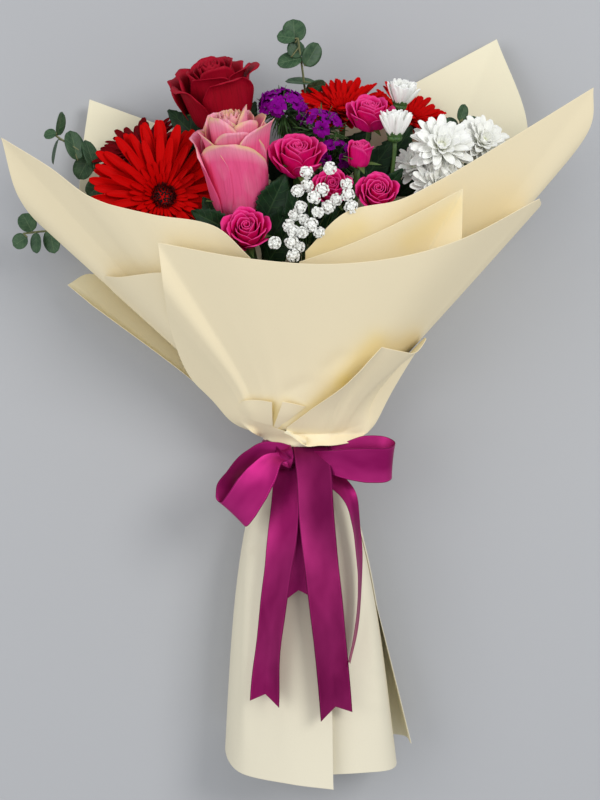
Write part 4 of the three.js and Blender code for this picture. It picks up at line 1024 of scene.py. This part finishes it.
# Florets spread evenly over a dome, from its top down to a spread, in degrees.
def domeTree(golden=137.508):
    wire, given = newTree("dome of florets", "radius spread squash uneven")
    uneven = given["uneven"]
    index = wire.node("GeometryNodeInputIndex")
    share = (index + 0.5) / given["count"]
    down = share ** 0.5 * given["spread"] * math.radians(1) + randomly(given, -0.15, 0.15, 0) * uneven
    angle = index * math.radians(golden) + randomly(given, -0.4, 0.4, 1) * uneven
    side = down.math("SINE") * given["radius"]
    where = wire.node("ShaderNodeCombineXYZ", {
        0: angle.math("COSINE") * side, 1: angle.math("SINE") * side,
        2: down.math("COSINE") * given["radius"] * given["squash"]})
    points = wire.node("GeometryNodePoints", {"Count": given["count"], "Position": where})
    lean = down + randomly(given, -0.35, 0.35, 2) * uneven
    rotation = wire.node("ShaderNodeCombineXYZ", {0: 0.0, 1: lean, 2: angle})
    return closeTree(wire, points, given, rotation, 1 - randomly(given, 0.0, 0.35, 3) * uneven)


petalRing, dome = petalRingTree(), domeTree()


# The copies of a petal that a tree grows, in the frame of their bloom.
def grown(tree, petal, material, placed, slot=0, **inputs):
    inputs.update(petal=bpy.data.objects.new("petal", petal.mesh("petal")), material=material)
    carrier = bpy.data.objects.new("seedbed", bpy.data.meshes.new("seedbed"))
    helpers = [inputs["petal"], carrier]
    for helper in helpers:
        scene.collection.objects.link(helper)
    modifier = carrier.modifiers.new("grow", "NODES")
    modifier.node_group = tree
    for item in tree.interface.items_tree:
        if item.in_out == "INPUT":
            modifier[item.identifier] = inputs[item.name]
    depsgraph = bpy.context.evaluated_depsgraph_get()
    evaluated = carrier.evaluated_get(depsgraph)
    mesh = bpy.data.meshes.new_from_object(evaluated, preserve_all_data_layers=True, depsgraph=depsgraph)
    mesh.transform(Matrix(placed))
    mesh.materials.clear()
    mesh.polygons.foreach_set("material_index", np.full(len(mesh.polygons), slot))
    for helper in helpers:
        bpy.data.objects.remove(helper)
    return mesh


# A long petal along x, with its widths in shares of its fullest, drooping and cupped.
def rayGrid(length, wide, foot=0.4, fullest=0.55, tip=0.66, droop=0.12, cup=0.3, rows=12, columns=7):
    u, v = overGrid(rows, columns)
    v = 1 - (1 - v) ** 1.4
    widen = foot + (1 - foot) * np.sin(np.pi / 2 * np.minimum(v / fullest, 1))
    blunt = np.sqrt(np.maximum(1 - (np.maximum(v - tip, 0) / (1.01 - tip)) ** 2, 0.01))
    half = wide / 2 * widen * blunt
    ridges = 0.03 * wide * np.cos(2 * np.pi * u) * np.minimum(v * 4, 1)
    z = -length * droop * v**2 + cup * half * u * u + ridges
    return np.stack([length * v + 0 * u, half * u, z], -1)


gerberas = named(
    "petal at facing size rise eye",
    gerberaLeft=("gerbera", (-96, 176, 100), (0.34, 0.05, 0.93), 54, 5, True),
    gerberaDark=("gerbera_dark", (-115, 214, 58), (-0.3, 0.75, 0.56), 39, 10, True),
    gerberaTop=("gerbera", (29, 243, 56), (0, 0.75, 0.66), 36, 20, False),
    gerberaRight=("gerbera", (78, 240, 44), (0.4, 0.66, 0.6), 34, 16, False))
# Rings from the outside in: how many petals, how far they reach, how wide they are, how they rise and droop.
gerberaRings = table(
    "count from reach wide level rise droop", (27, 0.15, 1.02, 0.15, -2.8, 0, 0.04),
    (26, 0.14, 0.98, 0.14, -1.6, 6, 0.05), (22, 0.13, 0.8, 0.11, -0.4, 13, 0.06),
    (26, 0.13, 0.5, 0.07, 0.6, 24, 0.1), (32, 0.13, 0.33, 0.04, 1.4, 42, 0.2))
tuftRings = [(46, 0.13, 46.0, 1.6), (44, 0.115, 58.0, 2.2), (36, 0.1, 68.0, 2.6)]


def gerberaMesh(name, shape):
    placed = bloomFrame(shape["at"], shape["facing"])
    size, meshes = shape["size"], []
    for k, ring in enumerate(gerberaRings):
        length = size * (ring["reach"] - ring["from"])
        grid = rayGrid(length, size * ring["wide"], 0.42, 0.6, 0.7, ring["droop"], 0.35)
        meshes.append(grown(
            petalRing, Grids().add(grid), petals[shape["petal"]], placed, count=ring["count"],
            radius=size * ring["from"], level=ring["level"], rise=ring["rise"] + shape["rise"], uneven=1.0,
            turn=0.15 * k, seed=31 * k + size))
    radii = np.array([0.06, 0.15, 0.17, 0.15, 0.05]) * size
    core = Grids().lathe((-6, -4, -1, 1.2, 2.4), radii, 20, frame=placed)
    return joined(name, [*meshes, core.mesh("core")])


def eyeMesh(name, shape):
    placed = bloomFrame(shape["at"], shape["facing"])
    size, meshes = shape["size"], []
    tuft = Grids().add(rayGrid(0.085 * size, 0.026 * size, droop=-0.3, rows=4, columns=3))
    button = Grids().lathe((-0.3, 0.4, 0.9), [0.7, 0.75, 0.3], 6)
    for k, (count, away, rise, level) in enumerate(tuftRings):
        meshes.append(grown(
            petalRing, tuft, tuftMaterial, placed, count=count, radius=away * size, level=level, rise=rise,
            uneven=1.6, turn=0.05 * k, seed=7 + k))
    raised = placed @ np.array(Matrix.Translation((0, 0, 0.6)))
    meshes.append(grown(
        dome, button, eyeMaterial, raised, 1, count=90, radius=0.115 * size, spread=88.0, squash=0.42,
        uneven=0.5, seed=3))
    return joined(name, meshes)


for name, shape in gerberas.items():
    material, slot = petals[shape["petal"]], shape["petal"] + "_petals"
    finish(name, keptInside(gerberaMesh(name, shape)), [material], slot, 0.3)
    if shape["eye"]:
        finish(name + "Eye", eyeMesh(name + "Eye", shape), [tuftMaterial, eyeMaterial], "gerbera_eye")
print("gerberas opened")

mums = named(
    "at facing size rise steep droop",
    mumA=((68, 242, 88), (0.1, 0.9, 0.4), 20, 50, 0.35, -0.22),
    mumB=((63, 216, 110), (0, 0.95, 0.3), 21, 54, 0.3, -0.22),
    mumC=((94, 208, 112), (0.1, 0.35, 0.93), 24, 2, 1, -0.04),
    mumD=((124, 214, 94), (0.35, 0.4, 0.85), 22, 2, 1, -0.04),
    mumE=((79, 198, 96), (-0.3, 0.6, 0.74), 18, 10, 1, -0.04),
    mumF=((92, 182, 112), (0.2, 0.1, 0.97), 20, 6, 1, -0.04))
mumRings = table(
    "count reach rise level", (16, 1.05, -2, -1.8), (15, 1.0, 9, -0.6), (13, 0.9, 22, 0.6),
    (10, 0.72, 42, 1.4), (7, 0.5, 64, 1.8))
for name, shape in mums.items():
    size, meshes = shape["size"], []
    placed = bloomFrame(shape["at"], shape["facing"])
    for k, ring in enumerate(mumRings):
        grid = rayGrid(size * (ring["reach"] - 0.1), 0.29 * size, 0.3, 0.62, 0.64, shape["droop"], 0.42)
        meshes.append(grown(
            petalRing, Grids().add(grid), petals["mum"], placed, count=ring["count"], radius=0.1 * size,
            level=ring["level"], rise=ring["rise"] * shape["steep"] + shape["rise"], uneven=1.3,
            turn=0.3 * k, seed=17 * k + ord(name[-1])))
    core = Grids().lathe((0.3, 1.2, 2.8), np.array([0.12, 0.2, 0.08]) * size, 14, frame=placed)
    radii = np.array([0.09, 0.22, 0.25, 0.16]) * size
    core.lathe((-4.2, -2.8, -1, 0.6), radii, 14, slot=1, frame=placed)
    bract = Grids().add(rayGrid(0.32 * size, 0.16 * size, 0.8, 0.3, 0.5, -0.3, 0.3, rows=5, columns=3))
    below = placed @ np.array(Matrix.Translation((0, 0, -2.8)))
    bracts = grown(
        petalRing, bract, bractGreen, below, 1, count=13, radius=0.14 * size, level=0.0,
        rise=22.0 + shape["rise"] / 2, uneven=1.0, turn=0.0, seed=2)
    mesh = keptInside(joined(name, [*meshes, core.mesh("core"), bracts]))
    finish(name, mesh, [petals["mum"], bractGreen], "mum_petals", 0.3)
print("chrysanthemums opened")

# ---- sweet william and baby's breath ----
sweetWilliams = named(
    "at facing size florets spread neck",
    sweetWilliamA=((-15, 245, 84), (-0.15, 0.85, 0.5), 15, 20, 74.0, 12),
    sweetWilliamB=((14, 229, 96), (0.1, 0.8, 0.6), 13, 9, 62.0, 12),
    sweetWilliamC=((23, 206, 98), (0.2, 0.5, 0.84), 11, 7, 70.0, 10))


# A floret: five toothed petals on a short funnel.
def floretGrid(radius, rows=6, columns=50, cup=0.0):
    v, turn = np.linspace(0, 1, rows)[:, None], np.linspace(0, 2 * np.pi, columns, endpoint=False)[None]
    lobe = 0.68 + 0.32 * np.abs(np.cos(2.5 * turn)) ** 0.6
    teeth = 1 + 0.07 * np.sign(np.sin(25 * turn)) * smooth(v, 0.7, 1)
    reach = radius * (0.08 + 0.92 * v) * (1 - (1 - lobe) * v) * teeth
    level = 0.34 * smooth(v, 0, 0.35) - 0.06 * np.cos(5 * turn) * v + 0.03 * np.sin(10 * turn) * v**2
    level = radius * (level + cup * v**2)
    return np.stack([reach * np.cos(turn), reach * np.sin(turn), level], -1)


def bristle(length, wide):
    return rayGrid(length, wide, 0.8, 0.3, 0.2, -0.15, 0.3, rows=5, columns=3)[..., [2, 1, 0]]


floret = Grids().add(floretGrid(7.8), ring=True)
needle = Grids().add(bristle(16, 1.4))
for name, shape in sweetWilliams.items():
    size, purple = shape["size"], petals["sweet_william"]
    foot = np.array(shape["at"]) - unit(shape["facing"]) * size * 0.6
    placed = bloomFrame(foot, shape["facing"], 0.4)
    blooms = grown(
        dome, floret, purple, placed, count=shape["florets"], radius=0.95 * size, spread=shape["spread"],
        squash=0.95, uneven=1.4, seed=ord(name[-1]))
    bracts = grown(
        dome, needle, bractGreen, placed, 1, count=170, radius=0.4 * size, spread=150.0, squash=0.9,
        uneven=1.8, seed=4)
    finish(name, joined(name, [blooms, bracts]), [purple, bractGreen], "sweet_william_florets", 0.25)

babysBreath = {
    "fork": (4, 132, 112), "height": 149, "head": 3.1,
    "places": [
        (3, 186), (18, 188), (3, 177), (13, 174), (29, 178), (30, 171), (-3, 173), (8, 169), (-1, 163),
        (17, 163), (10, 159), (-5, 158), (1, 155), (6, 151), (-9, 151), (-6, 147), (0, 146), (-7, 140),
        (-18, 139), (-6, 131), (32, 163), (22, 168), (11, 146), (-2, 137)],
}
ruffle = Grids().add(floretGrid(1.5, 3, 10, 0.5), ring=True)
fork = np.array(babysBreath["fork"])
tufts, twigs = [], Grids()
for n, (x, y) in enumerate(babysBreath["places"]):
    place = np.array([x, y, babysBreath["height"] + jitter(3)])
    size = babysBreath["head"] * chance.uniform(0.85, 1.15)
    placed = bloomFrame(place, (jitter(0.5), jitter(0.5), 1))
    tufts.append(grown(
        dome, ruffle, petals["gypsophila"], placed, count=52, radius=size, spread=125.0, squash=0.9,
        uneven=1.6, seed=n))
    ball = place + np.outer([-0.8, -0.4, 0.35, 0.68], [0, 0, size])
    twigs.tube(ball, np.array([0.5, 0.84, 0.84, 0.5]) * size, 9)
    bend = fork * 0.45 + place * 0.55 + np.array([jitter(3), jitter(3), -20])
    twigs.tube(smoothLine([fork, bend, place], 9), 0.3, 5, slot=1)
stalk = smoothLine([(0, -190, 44), (0, -12.5, 44.4), (0, 12.5, 44.4), (2, 84, 85), fork], 40)
twigs.tube(stalk, 1.3, slot=1)
mesh = joined("gypsophila", [*tufts, twigs.mesh("twigs")])
finish("gypsophila", mesh, [petals["gypsophila"], greenStem], "gypsophila_florets")
print("small flowers opened")

# ---- stems and leaves ----
# A stem has its slot in the tie, its radius and the blooms at its ends.
slotWidth, cutEnd = 5.8, -196
stems = named(
    "slot radius ends",
    rosePink=((-0.5, 0.9), 2.2, "rosePink"), roseCrimson=((-1, 0), 2.2, "roseCrimson"),
    gerberaLeft=((-1.5, 0.9), 2.2, "gerberaLeft"), gerberaDark=((-2, 0), 2.2, "gerberaDark"),
    gerberaTop=((0.5, -0.9), 2.2, "gerberaTop"), gerberaRight=((1.5, -0.9), 2.2, "gerberaRight"),
    sprayRoseLow=((-1, 1.8), 2, "sprayRoseF"), sprayRoseLeft=((0.5, 0.9), 2, "sprayRoseA sprayRoseE"),
    sprayRoseRight=((1, 1.8), 2, "sprayRoseC sprayRoseD sprayRoseB"),
    mumFront=((1.5, 0.9), 1.8, "mumC mumF mumD"), mumBack=((2, 0), 1.8, "mumE mumB mumA"),
    sweetWilliamLeft=((0, 0), 1.8, "sweetWilliamA"),
    sweetWilliamRight=((1, 0), 1.8, "sweetWilliamB sweetWilliamC"))
heads = {**roses, **gerberas, **mums, **sweetWilliams}


# Where a bloom meets its stem, and the way it faces.
def neck(name):
    shape = heads[name]
    axis = unit(shape["facing"])
    back = shape.get("neck", 5 if name in gerberas else 3)
    if name in roses:
        back = footBelow * shape["size"] * shape["tall"] + 3 * shape["size"]
    return np.array(shape["at"]) - axis * back, axis


# The places of a slot: at the cut ends and on both sides of the tie.
def throughTie(x, z):
    cut = (1.55 * x * slotWidth, cutEnd + 3 * abs(x), tieHeight + 1.3 * z * slotWidth)
    return [cut] + [(x * slotWidth, y, tieHeight + z * slotWidth) for y in (-paper["tied"], paper["tied"])]


def leafGrid(length, wide, teeth=0, fold=0.22, droop=0.12, fullest=0.42, stalk=0.06, rows=29, columns=9):
    u, v = overGrid(rows, columns)
    below = np.sin(np.minimum(v / fullest, 1) * np.pi / 2)
    above = np.cos(np.clip((v - fullest) / (1 - fullest), 0, 1) * 1.5)
    outline = np.where(v < fullest, below, above)
    saw = 1 - 0.2 * (v * teeth % 1) * np.abs(u) if teeth else 1
    half = wide / 2 * np.maximum(outline * saw, stalk)
    wave = 0.05 * wide * np.sin(9 * v + 2 * u) * np.abs(u)
    z = fold * half * np.abs(u) - droop * length * v**2 + wave
    return np.stack([length * v + 0 * u, half * u, z], -1)


# The rose leaves of each stem: foot, tip, width and the way each faces.
roseLeaves = {
    "rosePink": [
        ((-24, 160, 92), (-12, 186, 110), 21, (0.1, 0, 1)),
        ((-52, 150, 92), (-66, 172, 104), 20, (0, -0.2, 1)),
        ((-27, 155, 110), (-13, 184, 123), 24, (0.1, 0, 1))],
    "roseCrimson": [
        ((-64, 212, 72), (-90, 236, 84), 22, (-0.2, 0.2, 1)),
        ((-50, 210, 70), (-34, 240, 84), 20, (0.2, 0, 1)), ((-70, 196, 62), (-96, 214, 72), 24, (0, 0, 1))],
    "sprayRoseLeft": [
        ((2, 160, 96), (26, 170, 118), 17, (0, -0.3, 1)),
        ((-6, 168, 88), (-30, 176, 112), 17, (-0.2, 0, 1)),
        ((2, 138, 104), (-8, 172, 124), 20, (0, -0.2, 1)),
        ((8, 130, 102), (22, 162, 122), 22, (0.1, -0.2, 1)),
        ((-4, 176, 88), (-22, 204, 100), 20, (-0.2, 0, 1)),
        ((-2, 150, 108), (7, 186, 112), 20, (0, -0.2, 1))],
    "sprayRoseRight": [
        ((44, 168, 96), (66, 190, 110), 18, (0.1, -0.2, 1)),
        ((28, 160, 90), (24, 192, 104), 22, (0, 0, 1)), ((36, 180, 82), (60, 212, 94), 24, (0, 0, 1))],
    "sprayRoseLow": [
        ((-40, 122, 104), (-62, 142, 122), 16, (0, -0.2, 1)),
        ((-46, 150, 116), (-72, 162, 122), 19, (0, -0.2, 1)),
        ((-26, 126, 108), (-8, 152, 126), 20, (0, -0.2, 1)),
        ((-27, 134, 110), (-10, 166, 120), 22, (0, -0.2, 1))],
    "gerberaLeft": [
        ((-80, 140, 84), (-116, 158, 96), 18, (0, 0, 1))],
    "mumFront": [
        ((62, 150, 96), (84, 176, 108), 20, (0, 0, 1)), ((82, 160, 92), (116, 190, 100), 20, (0, 0, 1))],
    "mumBack": [
        ((52, 190, 68), (74, 224, 80), 26, (0, 0, 1)), ((66, 180, 74), (104, 206, 80), 26, (0, 0, 1))],
    "gerberaTop": [
        ((20, 196, 50), (46, 226, 60), 26, (0, 0, 1)), ((10, 200, 50), (-6, 234, 60), 26, (0, 0, 1))],
}
for key, stem in stems.items():
    cut, below, tied = throughTie(*stem["slot"])
    grids, fork = Grids(), None
    for name in stem["ends"].split():
        end, axis = neck(name)
        arrive = end - axis * 12
        if fork is None:
            fork = np.array(tied) + (end - tied) * 0.55 - axis * 12
            line, radius = smoothLine([cut, below, tied, fork, arrive, end], 60), stem["radius"]
        else:
            line = smoothLine([fork, fork + (arrive - fork) * 0.6, end - axis * 7, end], 24)
            radius = stem["radius"] * 0.7
        grids.tube(line, radius, 10)
        for n in range(5 if name in roses else 0):
            placed = bloomFrame(end + axis * 1.5, axis, 2 * math.pi * n / 5 + jitter(0.2))
            size = heads[name]["size"]
            lean = np.array(Matrix.Rotation(math.radians(-50 if n % 2 else -20), 4, "Y"))
            sepal = leafGrid(24 * size + 5, 8 * size + 1.5, droop=0.3, fullest=0.25, rows=12, columns=5)
            grids.add(sepal, jitter(0.3) + 0.3, slot=1, frame=placed @ lean)
    main = smoothLine([cut, below, tied, fork], 40)
    for base, tip, wide, normal in roseLeaves.get(key, []):
        start = main[np.argmin(np.linalg.norm(main - base, axis=1))]
        grids.tube(smoothLine([start, (start + base) / 2 - [0, 0, 2], base], 10), 0.7, 6)
        direction = np.subtract(tip, base)
        grid = leafGrid(np.linalg.norm(direction) * 1.1, wide, teeth=9)
        grids.add(grid, 0.5, slot=2, frame=leafFrame(base, direction, normal))
    name = "stem" + key[0].upper() + key[1:]
    finish(name, grids.mesh(name), [greenStem, softGreen, roseLeaf], "stem", 0.3)

# Eucalyptus: the way of each twig, and its leaves: their middle, length, width, heading and tilt in degrees.
sprigs = {
    "eucalyptusTop": {
        "slot": (-0.5, -0.9), "path": [(-8, 150, 28), (4, 236, 36), (1.5, 264, 50), (-3, 294, 62)],
        "leaves": [
            (-11.5, 294.5, 13, 12, 170, 20), (-5.6, 299.5, 17, 17, 95, 5), (-4.5, 287, 13, 13, 60, 10),
            (-9, 279, 18, 14, 190, 25), (7, 283.5, 19, 14, 58, 25), (-1, 266, 22, 14, 172, 58),
            (10, 262, 15, 12, 15, 50), (-4, 248, 17, 14, 200, 30), (14, 244, 16, 13, 20, 20)]},
    "eucalyptusLeftUpper": {
        "slot": (-1.5, -0.9), "path": [(-72, 120, 30), (-130, 184, 40), (-150, 207, 66), (-173, 222, 78)],
        "leaves": [
            (-169.8, 230.5, 17, 13, 74, 72), (-173.6, 211, 18, 13, -106, 70),
            (-176.5, 222.5, 9, 9, 190, 30), (-160.5, 216, 22, 15, 102, 35), (-150, 210.5, 22, 14, 104, 50),
            (-155, 201.5, 18, 16, -120, 15), (-148.5, 188.5, 16, 15, -140, 10), (-138, 200, 18, 15, 60, 20)]},
    "eucalyptusLeftLower": {
        "slot": (-1, -1.8), "path": [(-62, 74, 33), (-150, 148, 42), (-180, 158.5, 42), (-201, 156.5, 48)],
        "leaves": [
            (-198.3, 164.5, 15, 13.5, 118, 20), (-203.5, 151, 12, 12, -150, 10),
            (-191.9, 149.8, 15, 10, -92, 30), (-181, 151.5, 18, 13.5, -82, 20),
            (-176, 168, 16, 14, 100, 10)]},
    "eucalyptusRight": {
        "slot": (1, -1.8), "path": [(48, 130, 23), (92, 200, 36), (114, 236, 64)],
        "leaves": [
            (114, 240.5, 13, 9, 70, 30), (120, 234, 11, 9, 10, 20), (106, 233, 12, 11, 130, 20),
            (98, 228, 13, 11, 140, 20), (111, 224, 13, 12, 20, 20)]},
}


def roundLeaf(length, wide, rows=13, columns=9):
    u, v = overGrid(rows, columns)
    half = wide / 2 * np.maximum(np.sqrt(np.maximum(1 - (2 * v - 1) ** 2, 0)), 0.04)
    return np.stack([length * v + 0 * u, half * u, 0.14 * half * np.abs(u) - 0.08 * length * v**2], -1)


for name, shape in sprigs.items():
    line = smoothLine([*throughTie(*shape["slot"]), *shape["path"]], 240)
    grids = Grids().tube(line, np.linspace(1.6, 0.6, 240), 8)
    for x, y, length, wide, turn, tilt in shape["leaves"]:
        heading = math.radians(turn)
        middle = np.array([x, y, 0])
        near = line[np.argmin(np.linalg.norm((line - middle)[:, :2], axis=1))]
        middle[2] = near[2] + jitter(2)
        direction = np.array([math.cos(heading), math.sin(heading), 0.0])
        base = middle - direction * length / 2
        grids.tube(smoothLine([near, (near + base) / 2, base], 6), 0.45, 5)
        sideways = np.cross(direction, (0, 0, 1)) * math.sin(math.radians(tilt))
        normal = sideways + np.array([0, 0, math.cos(math.radians(tilt))])
        placed = leafFrame(base, direction, normal)
        grids.add(roundLeaf(length, wide), chance.uniform(0, 0.5), slot=1, frame=placed)
    finish(name, grids.mesh(name), [gumStem, gumLeaf], "eucalyptus", 0.3)

twine = {"radius": 15.2, "turns": 4, "reach": 3, "thick": 0.8}
turns = np.linspace(0, 2 * math.pi * twine["turns"], 200)
coil = polar(turns, np.linspace(-twine["reach"], twine["reach"], 200), twine["radius"])
finish("stemTie", Grids().tube(coil, twine["thick"]).mesh("stemTie"), [twineMaterial], "twine")
print("stems and leaves grown")

# ---- floor, light and camera ----
# The lens, the sensor and the camera's x and y from the tie are in millimetres, the other lengths in metres.
studio = {
    "floor": ink(179, 180, 182), "side": 6.0, "sky": (0.92, 0.95, 1, 1), "strength": 0.62, "eye": 1.15,
    "lens": 68.8, "sensor": 36, "x": -1.5, "y": 36.5,
}
scene.view_settings.view_transform = "Standard"


def softLight(name, at, size, power):
    data = bpy.data.lights.new(name, "AREA")
    data.shape, data.size, data.energy = "DISK", size, power
    light = bpy.data.objects.new(name, data)
    light.location = at
    light.rotation_euler = (-Vector(at)).to_track_quat("-Z", "Y").to_euler()
    scene.collection.objects.link(light)


half = studio["side"] / 2
floorMesh = bpy.data.meshes.new("floor")
corners = [(-half, -half, 0), (half, -half, 0), (half, half, 0), (-half, half, 0)]
floorMesh.from_pydata(corners, [], [(0, 1, 2, 3)])
floor = bpy.data.objects.new("floor", floorMesh)
floorMesh.materials.append(plainMaterial("floor", studio["floor"], studio["floor"], 60, 0.8, 0.0001))
scene.collection.objects.link(floor)
softLight("key", (1.1, 0.65, 1.65), 0.9, 16.5)
softLight("fill", (-1.2, 0.1, 1.4), 1.4, 9)
world = bpy.data.worlds.new("studio")
world.use_nodes = True
sky = world.node_tree.nodes["Background"]
sky.inputs["Color"].default_value, sky.inputs["Strength"].default_value = studio["sky"], studio["strength"]
scene.world = world
cameraData = bpy.data.cameras.new("camera")
cameraData.lens, cameraData.sensor_width = studio["lens"], studio["sensor"]
camera = bpy.data.objects.new("camera", cameraData)
camera.location = (tie.x + studio["x"] / 1000, tie.y + studio["y"] / 1000, studio["eye"])
scene.collection.objects.link(camera)
scene.camera = camera
